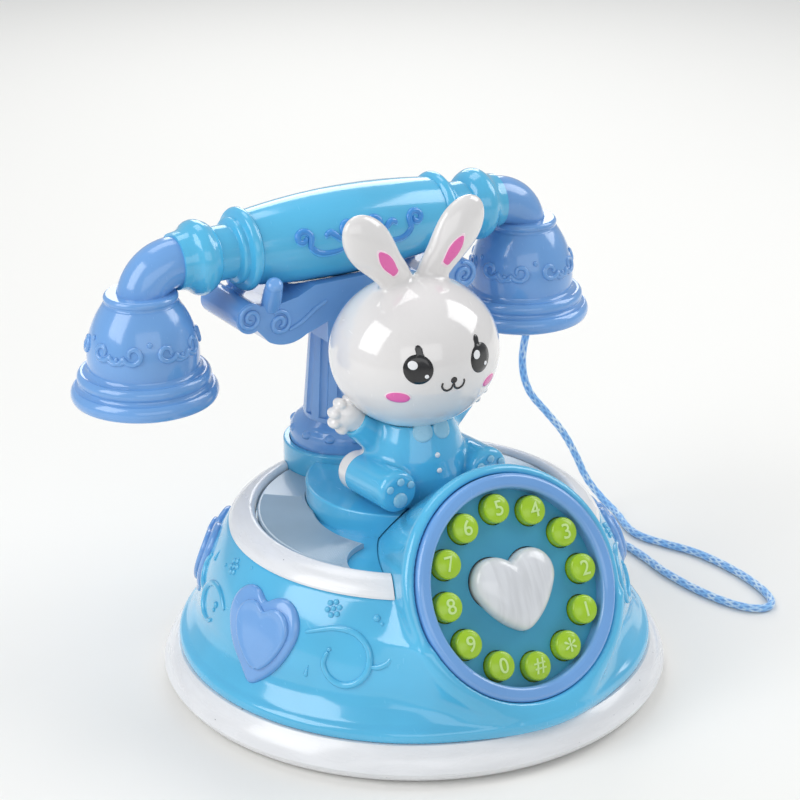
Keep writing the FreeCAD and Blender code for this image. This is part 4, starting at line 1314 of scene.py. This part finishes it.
@dataclass
class Rabbit:
    """The sitting rabbit: head and ears, face, coat, collar, legs and paws."""

    centre: Spot = (0.0, 0.0, 119.5)
    axes: Spot = (30.0, 28.0, 26.4)
    ear: Spot = (8.4, 4.2, 18.4)
    ear_place: tuple[float, float] = (14.2, 155.5)
    lean: float = 38.0
    face_shift: float = -2.0
    seam: float = 4.0
    waist_rows: tuple[float, ...] = (67, 72, 78, 84, 90, 94, 98, 102)
    waist_radii: tuple[float, ...] = (18.0, 18.5, 18.6, 17.6, 15.6, 14.0, 12.4, 11.0)
    eye: Spot = (11.7, 122.9, 4.75)
    cheek: Flat = (17.1, 112.8)

    def head_field(self, points: np.ndarray) -> np.ndarray:
        """Head and ears, softly joined.

        Args:
            points: places in millimetres.

        Returns:
            Signed distance, nearly, in millimetres.
        """
        whole = ellipsoid(self.centre, self.axes)(points)
        for sign in (-1, 1):
            ear = self.ear_field(sign)
            whole = soft_least(whole, ear(points), 2.4)
        return whole

    def ear_field(self, sign: int) -> Field:
        """One ear: wide near its tip, drawn in towards the head.

        Args:
            sign: -1 for the left side and 1 for the right.

        Returns:
            The ear's field.
        """
        tip = math.radians(self.lean)
        x, z = self.ear_place
        end = ellipsoid((sign * (x + 6.0 * math.sin(tip)), 0.0, z + 6.0 * math.cos(tip)),
                        (self.ear[0], self.ear[1], 12.4), sign * self.lean)
        stem = ellipsoid((sign * (x - 4.5 * math.sin(tip)), 0.0, z - 4.5 * math.cos(tip)),
                         (6.4, self.ear[1], 16.0), sign * self.lean)
        return lambda points: soft_least(end(points), stem(points), 3.0)

    def body_field(self, points: np.ndarray) -> np.ndarray:
        """Body, legs and sleeves, softly joined, on the platform and under the head.

        Args:
            points: places in millimetres.

        Returns:
            Signed distance, nearly, in millimetres.
        """
        height = points[:, 2]
        radius = np.interp(height, self.waist_rows, self.waist_radii)
        body = (np.hypot(points[:, 0], points[:, 1]) - radius) * 0.96
        body = soft_most(body, height - 100.0, 2.0)
        for sign in (-1, 1):
            leg = rod((sign * 18.6, 10.6, 75.4), (sign * 18.6, -20.5, 77.6), 7.2, 7.4, 3.2)(points)
            body = soft_least(body, leg, 1.8)
            sleeve = rod((sign * 10, 3.5, 86), (sign * 22.4, 3.5, 96.6), 6.6, 5.2, 1.2)(points)
            body = soft_least(body, sleeve, 2.5)
        body = np.maximum(body, 67.45 - height)
        return np.maximum(body, -ellipsoid(self.centre, tuple(a + 0.15 for a in self.axes))(points))

    def paw_field(self, sign: int) -> Field:
        """A white forepaw with four finger bumps, on the side of that sign.

        Args:
            sign: -1 for the left side and 1 for the right.

        Returns:
            The paw's field.
        """
        shapes = [rod((sign * 18.5, 3.5, 93.5), (sign * 25.2, 3.5, 100), 4.3, 4.7, 2.0),
                  ellipsoid((sign * 25.0, 3.5, 99.6), (5.2, 4.6, 5.4))]
        shapes += [ellipsoid((sign * x, 3.5, z), (2.0, 3.0, 2.0))
                   for x, z in ((24.4, 104.8), (28.0, 104.2), (30.3, 101.2), (30.3, 97.6), (27.4, 94.8))]

        def value(points: np.ndarray) -> np.ndarray:
            """The paw's field.

            Args:
                points: places in millimetres.

            Returns:
                The field's value at each place.
            """
            whole = shapes[0](points)
            for shape in shapes[1:]:
                whole = soft_least(whole, shape(points), 0.9)
            return whole

        return value

    def on_face(self, across: float, up: float, lift: float) -> Spot:
        """A place on the head's front at that x and z.

        Args:
            across: the place sideways, in millimetres.
            up: the height.
            lift: how far out from the surface.

        Returns:
            The place.
        """
        x, z = (across + self.face_shift) / self.axes[0], (up - self.centre[2]) / self.axes[2]
        y = -self.axes[1] * math.sqrt(max(1 - x * x - z * z, 0.01))
        here = np.array([across + self.face_shift, y, up])
        normal = (here - np.array(self.centre)) / np.array(self.axes) ** 2
        return tuple(here + normal / np.linalg.norm(normal) * lift)

    def on_ear(self, sign: int) -> Surface:
        """The front of an ear: across and along it, from its middle.

        Args:
            sign: -1 for the left side and 1 for the right.

        Returns:
            A surface whose upward way runs along the ear.
        """
        def surface(across: float, up: float, lift: float) -> Spot:
            """A place on the ear's front.

            Args:
                across: the place sideways, in millimetres.
                up: the place upwards, in millimetres.
                lift: how far out from the surface.

            Returns:
                The place.
            """
            deep = self.ear[1]
            lean = math.radians(self.lean) * sign
            x, z = self.ear_place
            x = sign * x + across * math.cos(lean) + up * math.sin(lean)
            z = z + up * math.cos(lean) - across * math.sin(lean)
            rows = np.linspace(-deep - 1.5, 0.0, 60)
            level = self.head_field(np.stack([np.full(60, x), rows, np.full(60, z)], 1))
            y = float(np.interp(0.0, level[::-1], rows[::-1]))
            return (x, y - lift, z)

        return surface

    def build(self, ridges: Ridges, repeats: Repeats) -> None:
        """Make every piece of the rabbit.

        Args:
            ridges: the tool for swept lines.
            repeats: the tool for repeated shapes.
        """
        head = piece("rabbit_head", *skin(self.head_field, (-33, -31, 91), (33, 31, 176), 0.8), Look.RABBIT)
        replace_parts(head, "head_front", "head_back")
        points, faces = skin(self.body_field, (-29, -24, 65), (29, 22, 103), 0.7)
        for name, low, look in (("body_front", True, Look.SHELL), ("body_back", False, Look.RABBIT)):
            mesh = parted(points, faces, self.seam, low)
            spots = np.array([v.co for v in mesh.vertices])
            loops = [list(face.vertices) for face in mesh.polygons]
            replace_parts(piece(f"rabbit_{name}", spots, loops, look), name)
        for side, sign in (("left", -1), ("right", 1)):
            low = (min(sign * 17, sign * 38), -4, 88)
            high = (max(sign * 17, sign * 38), 11, 112)
            piece(f"rabbit_paw_{side}", *skin(self.paw_field(sign), low, high, 0.45), Look.RABBIT)
        self.face(ridges)
        self.coat(repeats)

    def face(self, ridges: Ridges) -> None:
        """Eyes with a lash and two glints, cheeks, nose and mouth, and the ears' pink linings.

        Args:
            ridges: the tool for swept lines.
        """
        flat = [(0.0, 0.14), (0.6, 0.14), (0.94, 0.13), (1.0, -0.2)]
        over = [(0.0, 0.26), (0.7, 0.26), (0.95, 0.24), (1.0, -0.1)]
        ink, glints, blush, pale = [], [], [], []
        for sign in (-1, 1):
            middle = sign * self.eye[0]
            eye = oval((middle, self.eye[1]), self.eye[2], 5.3)
            lash = [(middle - sign * 0.9 + x, y) for x, y in
                    ((-1.5, 126.8), (1.5, 126.8), (1.1, 128.2), (1.2, 129.7), (0.7, 130.6), (0.0, 130.9),
                     (-0.7, 130.6), (-1.2, 129.7), (-1.1, 128.2))]
            ink += [mounded(eye, self.on_face, flat), mounded(lash, self.on_face, flat)]
            glints += [mounded(oval((middle - 1.7, 124.5), 1.5, 1.55), self.on_face, over),
                       mounded(oval((middle + 2.3, 120.5), 0.7, 0.7), self.on_face, over)]
            cheek = (sign * self.cheek[0], self.cheek[1])
            pale.append(mounded(oval(cheek, 3.7, 2.35, sign * 10), self.on_face, flat))
            blush.append(mounded(oval(cheek, 3.3, 1.95, sign * 10), self.on_face, over))
            pale.append(mounded(self.lining(1.0), self.on_ear(sign), flat))
            blush.append(mounded(self.lining(0.86), self.on_ear(sign), over))
        ink.append(mounded(oval((0.1, 117.9), 1.25, 1.2), self.on_face, flat))
        piece("rabbit_eyes", *joined(ink), Look.INK)
        piece("rabbit_glints", *joined(glints), Look.GLINT)
        piece("rabbit_cheeks", *joined(blush), Look.BLUSH)
        piece("rabbit_cheek_rims", *joined(pale), Look.RIM)
        mouth = [(-4.0, 117.5), (-4.2, 116.2), (-3.4, 114.9), (-2.0, 114.4), (-0.7, 115.1), (0.0, 116.6),
                 (0.7, 115.1), (2.0, 114.5), (3.4, 115.0), (4.2, 116.3), (4.1, 117.5)]
        line = [self.on_face(x, z, 0.0) for x, z in smooth_path(mouth, 6)]
        bridge = [self.on_face(0.05, z, 0.0) for z in (117.6, 117.2, 116.8, 116.4)]
        ridges.make("rabbit_mouth", [line, bridge], 0.42, Look.INK, taper=0.8)

    def lining(self, share: float) -> list[Flat]:
        """The lining's outline in an ear: round above, narrow below.

        Args:
            share: how much of its full size is wanted.

        Returns:
            The outline, counter-clockwise.
        """
        right = [(0.0, -8.4), (1.5, -8.0), (1.9, -6.4), (2.5, -3.6), (2.7, -1.2), (2.3, 1.6), (1.4, 3.8),
                 (0.6, 5.0), (0.0, 5.3)]
        line = smooth_path(right, 5)
        both = line + [(-x, y) for x, y in reversed(line[1:-1])]
        return [(x * share, y * share - 1.5 * (1 - share)) for x, y in both]

    def on_coat(self, across: float, up: float, lift: float) -> Spot:
        """A place on the chest at that x and z."""
        radius = float(np.interp(up, self.waist_rows, self.waist_radii)) + lift
        return (across, -math.sqrt(max(radius ** 2 - across ** 2, 0.5)), up)

    def coat(self, repeats: Repeats) -> None:
        """The scalloped collar, two buttons, and the pads under the feet.

        Args:
            repeats: the tool for repeated shapes.
        """
        flat = [(0.0, 0.28), (0.75, 0.28), (0.93, 0.2), (1.0, -0.25)]
        scallops = []
        for turn in (-20, 11):
            def around(across: float, up: float, lift: float, start: float = turn) -> Spot:
                """A place on the neck under the head.

                Args:
                    across: the place sideways, in millimetres.
                    up: the place upwards, in millimetres.
                    lift: how far out from the surface.
                    start: the way round that it starts from.

                Returns:
                    The place.
                """
                radius = float(np.interp(up, [84, 88, 90, 94, 98], [17.6, 16.2, 15.6, 14.0, 12.4])) + lift
                angle = math.radians(start) + across / 15.4
                return (radius * math.sin(angle), -radius * math.cos(angle), up)

            scallops.append(mounded(oval((0.0, 94.4), 4.1, 3.6), around, flat))
        piece("rabbit_collar", *joined(scallops), Look.PAD)
        spots = [self.on_coat(-1.2, z, 0.0) for z in (86.3, 81.0)]
        facings = [(-0.06, -1.0, 0.1)] * 2
        repeats.make("rabbit_buttons", dome_bead(), spots, facings, [1.0, 1.0], Look.PEARL)
        pads, ways, sizes = [], [], []
        for sign in (-1, 1):
            middle = sign * 18.5
            for x, z, size in ((0.2 * sign, 75.0, 2.9), (-0.1 * sign, 81.6, 1.45), (-4.1, 79.6, 1.4),
                               (4.1, 79.8, 1.4)):
                pads.append((middle + x, -20.75, z))
                ways.append((0.0, -1.0, 0.06))
                sizes.append(size)
        repeats.make("rabbit_pads", dome_bead(height=0.36), pads, ways, sizes, Look.PAD)


# ------------------------------------------------------------------ handset and cradle

@dataclass
class Handset:
    """Raised work on the handset: a scroll band round each bell and curls on the grip."""

    axis: tuple[float, float] = (49.3, 149.0)
    bell_x: float = 78.9
    body: tuple[float, float] = (19.3, 114.5)
    neck: tuple[float, float] = (13.1, 136.9)
    curve: float = 32.0
    barrel: tuple[float, float, float] = (15.9, 13.2, 37.6)

    def __post_init__(self) -> None:
        """Work out the centre of the bell's side."""
        self.centre = arc_centre(self.body, self.neck, self.curve)

    def on_bell(self, side: int, turn: float, height: float, lift: float) -> Spot:
        """A place on a bell's side by its turn from the front, in degrees, and height.

        Args:
            side: -1 for the left bell and 1 for the right.
            turn: the way round, in degrees from the front.
            height: a height in millimetres.
            lift: how far out from the surface.

        Returns:
            The place.
        """
        radius = self.centre[0] + math.sqrt(self.curve ** 2 - (height - self.centre[1]) ** 2) + lift
        angle = math.radians(turn)
        return (side * self.bell_x + radius * math.sin(angle),
                self.axis[0] - radius * math.cos(angle), height)

    def on_grip(self, along: float, around: float, lift: float = 0.0) -> Spot:
        """A place on the grip's barrel, by x and the way round it upwards from the front.

        Args:
            along: the place along the grip.
            around: the way round it, in millimetres.
            lift: how far out from the surface.

        Returns:
            The place.
        """
        thick, thin, end = self.barrel
        radius = thick - (thick - thin) * (along / end) ** 2 + lift
        angle = around / thick
        return (along, self.axis[0] - radius * math.cos(angle), self.axis[1] + radius * math.sin(angle))

    def build(self, ridges: Ridges, repeats: Repeats) -> None:
        """Make the bands and the curls.

        Args:
            ridges: the tool for swept lines.
            repeats: the tool for repeated shapes.
        """
        for side, name in ((-1, "mouth"), (1, "ear")):
            paths = []
            spots, facings, sizes = [], [], []
            for repeat in range(5):
                start = repeat * 72.0 - 36.0
                for flip, offset in ((1, 0.0), (-1, 36.0)):
                    wave = curl((0.0, 0.0), 3.4, 200.0, 1.05, 0.66, 36)
                    tail = smooth_path([(-9.6, -1.9), (-7.0, -3.4), (-4.4, -2.6), wave[0]], 5)[:-1]
                    line = [(x * flip, z * (1 if flip > 0 else 0.92)) for x, z in tail + wave]
                    paths.append([self.on_bell(side, start + offset + math.degrees(x / 18.0), 124.4 + z, 0.0)
                                  for x, z in line])
                for turn, z, size in ((start + 18, 127.6, 1.0), (start - 18, 122.6, 0.9)):
                    here = np.array(self.on_bell(side, turn, z, 0.0))
                    spots.append(tuple(here))
                    facings.append(tuple(np.array(self.on_bell(side, turn, z, 1.0)) - here))
                    sizes.append(size)
            ridges.make(f"{name}_bell_band", paths, 1.0, Look.PERIWINKLE, "handset", 0.5)
            repeats.make(f"{name}_bell_beads", dome_bead(), spots, facings, sizes, Look.PERIWINKLE, "handset")
        lines = []
        for flip in (-1, 1):
            head = curl((23.0, 5.0), 3.2, -150.0, -1.15, 0.75, 36)
            stem = smooth_path([(8.0, -1.2), (12.0, -1.8), (17.0, -1.4), (20.2, 1.2), head[0]], 6)[:-1]
            lines.append([self.on_grip(flip * x, y, -0.15) for x, y in stem + head])
            loop = curl((5.0, 5.6), 3.0, -60.0, 1.2, 0.7, 36)
            foot = smooth_path([(1.0, -2.6), (3.4, 0.4), loop[0]], 6)[:-1]
            lines.append([self.on_grip(flip * x, y, -0.15) for x, y in foot + loop])
            lines.append([self.on_grip(flip * x, y, -0.15)
                          for x, y in smooth_path([(8.8, 2.2), (10.6, 4.2), (12.6, 5.4), (14.6, 4.4)], 6)])
        ridges.make("grip_curls", lines, 1.25, Look.SCROLL, "handset", 0.5)
        ridges.make("grip_curl_edges", [[tuple(np.array(spot) + np.array([0, 0.0, -0.75])) for spot in line]
                                        for line in lines], 0.95, Look.BAND, "handset", 0.5)


@dataclass
class Cradle:
    """Raised spirals on the cradle's faces and lobes round the mast's foot."""

    middle: float = 49.3
    depth: float = 13.3
    rolls: tuple[tuple[float, float, float], ...] = ((44.0, 128.0, 4.6), (32.6, 124.2, 4.6))

    def build(self, ridges: Ridges, repeats: Repeats) -> None:
        """Make the spirals on both faces and the foot's lobes.

        Args:
            ridges: the tool for swept lines.
            repeats: the tool for repeated shapes.
        """
        paths = []
        for face in (-1, 1):
            for side in (-1, 1):
                for number, (x, z, reach) in enumerate(self.rolls):
                    start = (100.0, 60.0)[number]
                    line = curl((0.0, 0.0), reach, start, (-1.6, 1.6)[number], 0.8, 50)
                    paths.append([(side * (x + dx), self.middle + face * (self.depth + 0.1), z + dz)
                                  for dx, dz in line])
                arm = smooth_path([(29.0, 121.0), (24.0, 123.0), (18.5, 126.6), (13.6, 129.0)], 8)
                paths.append([(side * x, self.middle + face * (self.depth + 0.1), z) for x, z in arm])
        ridges.make("cradle_curls", paths, 0.95, Look.PERIWINKLE, "base", 0.6)
        turns = [math.radians(30 * n + 15) for n in range(12)]
        spots = [(17.4 * math.sin(t), self.middle - 17.4 * math.cos(t), 75.4) for t in turns]
        facings = [(0.25 * math.sin(t), -0.25 * math.cos(t), 1.0) for t in turns]
        repeats.make("mast_lobes", dome_bead(5, 14, 0.7), spots, facings, [2.6] * 12, Look.PERIWINKLE)


# ------------------------------------------------------------------ rope

@dataclass
class Rope:
    """The rope from the ear bell down to the floor and round to the back of the base."""

    radius: float = 1.5
    route: tuple[Spot, ...] = (
        (93.6, 60.0, 131.5), (100, 64.5, 133.5), (106.5, 69, 129), (109, 71, 118), (106.5, 71.5, 105),
        (101, 71, 93), (96, 70.5, 81.5), (94.5, 70, 70), (98, 70, 58.5), (107, 70, 48), (116, 70, 37),
        (123, 70.5, 25), (128, 70, 13.5), (133.5, 65.5, 4.5), (134, 55, 1.6), (129.5, 44, 1.6),
        (128.5, 34, 1.6), (133, 23, 1.6), (138.5, 11, 1.6), (141, -4, 1.6), (141, -20, 1.6),
        (139, -33, 1.6), (134.5, -41.5, 1.6), (126.5, -40.5, 1.6), (121, -30, 1.6), (118, -15, 1.6),
        (117, 3, 1.6), (119, 20, 1.6), (119, 38, 1.6), (112, 54, 1.6), (100, 68, 1.6), (85, 81.5, 1.6),
        (68, 93, 1.6), (49, 101.5, 1.6), (31, 104.5, 2.6), (17, 101, 9), (10, 95.5, 18.5),
        (8, 89.5, 26.5), (7.5, 81.5, 31))
    strands: int = 5
    pitch: float = 5.0
    sides: int = 30
    step: float = 0.42

    def line(self) -> np.ndarray:
        """The centre line's points in metres, read from a smooth curve through the route.

        Returns:
            The points, close together.
        """
        curve = bpy.data.curves.new("rope_line", "CURVE")
        curve.dimensions = "3D"
        spline = curve.splines.new("NURBS")
        spline.points.add(len(self.route) - 1)
        for point, (x, y, z) in zip(spline.points, self.route):
            point.co = (x * MM, y * MM, z * MM, 1.0)
        spline.order_u = 3
        spline.use_endpoint_u = True
        spline.resolution_u = 24
        holder = bpy.data.objects.new("rope_line", curve)
        bpy.context.scene.collection.objects.link(holder)
        mesh = plain_mesh(holder)
        bpy.data.objects.remove(holder)
        return np.array([v.co for v in mesh.vertices])

    def build(self) -> None:
        dense = self.line()
        run = np.concatenate([[0.0], np.cumsum(np.linalg.norm(np.diff(dense, axis=0), axis=1))])
        count = int(run[-1] / (self.step * MM))
        places = np.linspace(0.0, run[-1], count)
        path = np.stack([np.interp(places, run, dense[:, axis]) for axis in range(3)], 1)
        ahead = np.gradient(path, axis=0)
        ahead /= np.linalg.norm(ahead, axis=1)[:, None]
        side = np.cross(ahead[0], (0.0, 0.0, 1.0))
        frames = []
        for way in ahead:
            side = side - way * (side @ way)
            side = side / np.linalg.norm(side)
            frames.append((side, np.cross(way, side)))
        angles = 2 * np.pi * np.arange(self.sides) / self.sides
        first = np.array([frame[0] for frame in frames])
        second = np.array([frame[1] for frame in frames])
        wind = 2 * np.pi * places[:, None] / (self.pitch * MM)
        left = np.cos(self.strands * angles[None, :] + wind)
        right = np.cos(self.strands * angles[None, :] - wind)
        height = np.maximum(left, right)
        reach = (self.radius - 0.1 + 0.1 * height) * MM
        ring = (np.cos(angles)[None, :, None] * first[:, None, :]
                + np.sin(angles)[None, :, None] * second[:, None, :])
        points = (path[:, None, :] + reach[..., None] * ring).reshape(-1, 3)
        faces = []
        for row in range(count - 1):
            low, up = row * self.sides, (row + 1) * self.sides
            for n in range(self.sides):
                after = (n + 1) % self.sides
                faces.append((low + n, low + after, up + after, up + n))
        faces.append(tuple(reversed(range(self.sides))))
        faces.append(tuple(range((count - 1) * self.sides, count * self.sides)))
        rope = piece("rope", points / MM, faces, Look.ROPE, "")
        # each point's braid height, which the rope's finish turns into painted shade in the gaps between
        # strands
        strand = rope.data.attributes.new("strand", "FLOAT", "POINT")
        strand.data.foreach_set("value", np.clip((height.ravel() + 0.25) / 1.25, 0, 1))
        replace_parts(rope, "cord_lifted", "cord_laid")
        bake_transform(rope)
        tuple(np.array(self.route[0]) * MM)


# ------------------------------------------------------------------ studio

@dataclass
class Studio:
    """A pale floor, soft lights and the camera."""

    azimuth: float = -32.344
    elevation: float = 22.412
    distance: float = 0.801
    target: Spot = (0.0, 0.0, 0.09878)
    lens: float = 103.9
    shift: tuple[float, float] = (-0.0178, 0.0062)

    def lamp(self, name: str, place: Spot, aim: Spot, size: tuple[float, float], power: float,
             colour: Colour = (1.0, 1.0, 1.0)) -> None:
        """One rectangular soft light.

        Args:
            name: the light's name.
            place: where it stands.
            aim: what it faces.
            size: its width and height in metres.
            power: its power in watts.
            colour: its colour.
        """
        light = bpy.data.lights.new(name, "AREA")
        light.shape = "RECTANGLE"
        light.size, light.size_y = size
        light.energy = power
        light.color = colour
        lamp = bpy.data.objects.new(name, light)
        lamp.location = place
        lamp.rotation_euler = (Vector(aim) - Vector(place)).to_track_quat("-Z", "Y").to_euler()
        bpy.context.scene.collection.objects.link(lamp)

    def build(self) -> None:
        """Make the floor, the lights, the surroundings and the camera."""
        mesh = bpy.data.meshes.new("floor")
        mesh.from_pydata([(-4, -4, 0), (4, -4, 0), (4, 4, 0), (-4, 4, 0)], [], [(0, 1, 2, 3)])
        floor = bpy.data.objects.new("floor", mesh)
        bpy.context.scene.collection.objects.link(floor)
        shader = Shader("floor")
        shader.set(Base_Color=(0.86, 0.85, 0.82), Roughness=0.7)
        mesh.materials.append(shader.material)
        self.lamp("key_light", (-0.96, 0.05, 0.75), (0, 0, 0.1), (0.7, 0.85), 6.4)
        self.lamp("fill_light", (0.91, -0.2, 0.79), (0, 0, 0.1), (0.6, 0.7), 4.6)
        self.lamp("front_light", (-0.35, -1.2, 0.55), (0, 0, 0.08), (1.3, 0.6), 2.8)
        self.lamp("top_light", (0.0, 0.5, 1.2), (0, 0, 0.05), (0.7, 0.5), 2.4)
        self.lamp("back_light", (0.5, 0.9, 0.6), (0, 0, 0.1), (0.5, 0.5), 2.2)
        world = bpy.data.worlds.new("studio")
        bpy.context.scene.world = world
        world.use_nodes = True
        world.node_tree.nodes["Background"].inputs["Color"].default_value = (0.93, 0.96, 1.0, 1.0)
        world.node_tree.nodes["Background"].inputs["Strength"].default_value = 0.5
        camera_data = bpy.data.cameras.new("camera")
        camera_data.lens = self.lens
        camera_data.sensor_width = 36.0
        camera_data.shift_x, camera_data.shift_y = self.shift
        camera_data.clip_start = 0.01
        camera = bpy.data.objects.new("camera", camera_data)
        turn, rise = math.radians(self.azimuth), math.radians(self.elevation)
        way = Vector((math.sin(turn) * math.cos(rise), -math.cos(turn) * math.cos(rise), math.sin(rise)))
        camera.location = Vector(self.target) + way * self.distance
        camera.rotation_euler = (-way).to_track_quat("-Z", "Y").to_euler()
        bpy.context.scene.collection.objects.link(camera)
        bpy.context.scene.camera = camera
        bpy.context.scene.view_settings.view_transform = "Standard"


# ------------------------------------------------------------------ everything

SLOTS: set[str] = set()
BODY_OF: dict[str, str] = {}


def dress_frame(frame: dict) -> None:
    """Give every CAD node the finish of its slot.

    Args:
        frame: the loaded frame.
    """
    looks = {look.value.name: look for look in Look}
    for part in frame["record"]["subparts"]:
        node = frame["nodes"][part["node"]]
        node.data.materials.clear()
        node.data.materials.append(material(looks[part["material_slot"]]))


def main() -> None:
    """Load the frame and build every sub-assembly around it."""
    logging.basicConfig(level=logging.INFO, format="%(name)s %(message)s")
    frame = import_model()
    SLOTS.update(entry["slot"] for entry in frame["record"]["materials"])
    for body, members in frame["record"]["behaviour"]["bodies"].items():
        BODY_OF.update({node: body for node in members})
    dress_frame(frame)
    ridges, repeats = Ridges(), Repeats()
    base = Base()
    base.build(ridges, repeats)
    Dial(base).build()
    Rabbit().build(ridges, repeats)
    Handset().build(ridges, repeats)
    Cradle().build(ridges, repeats)
    Rope().build()
    Studio().build()
    bpy.context.view_layer.update()


if __name__ == "__main__":
    main()
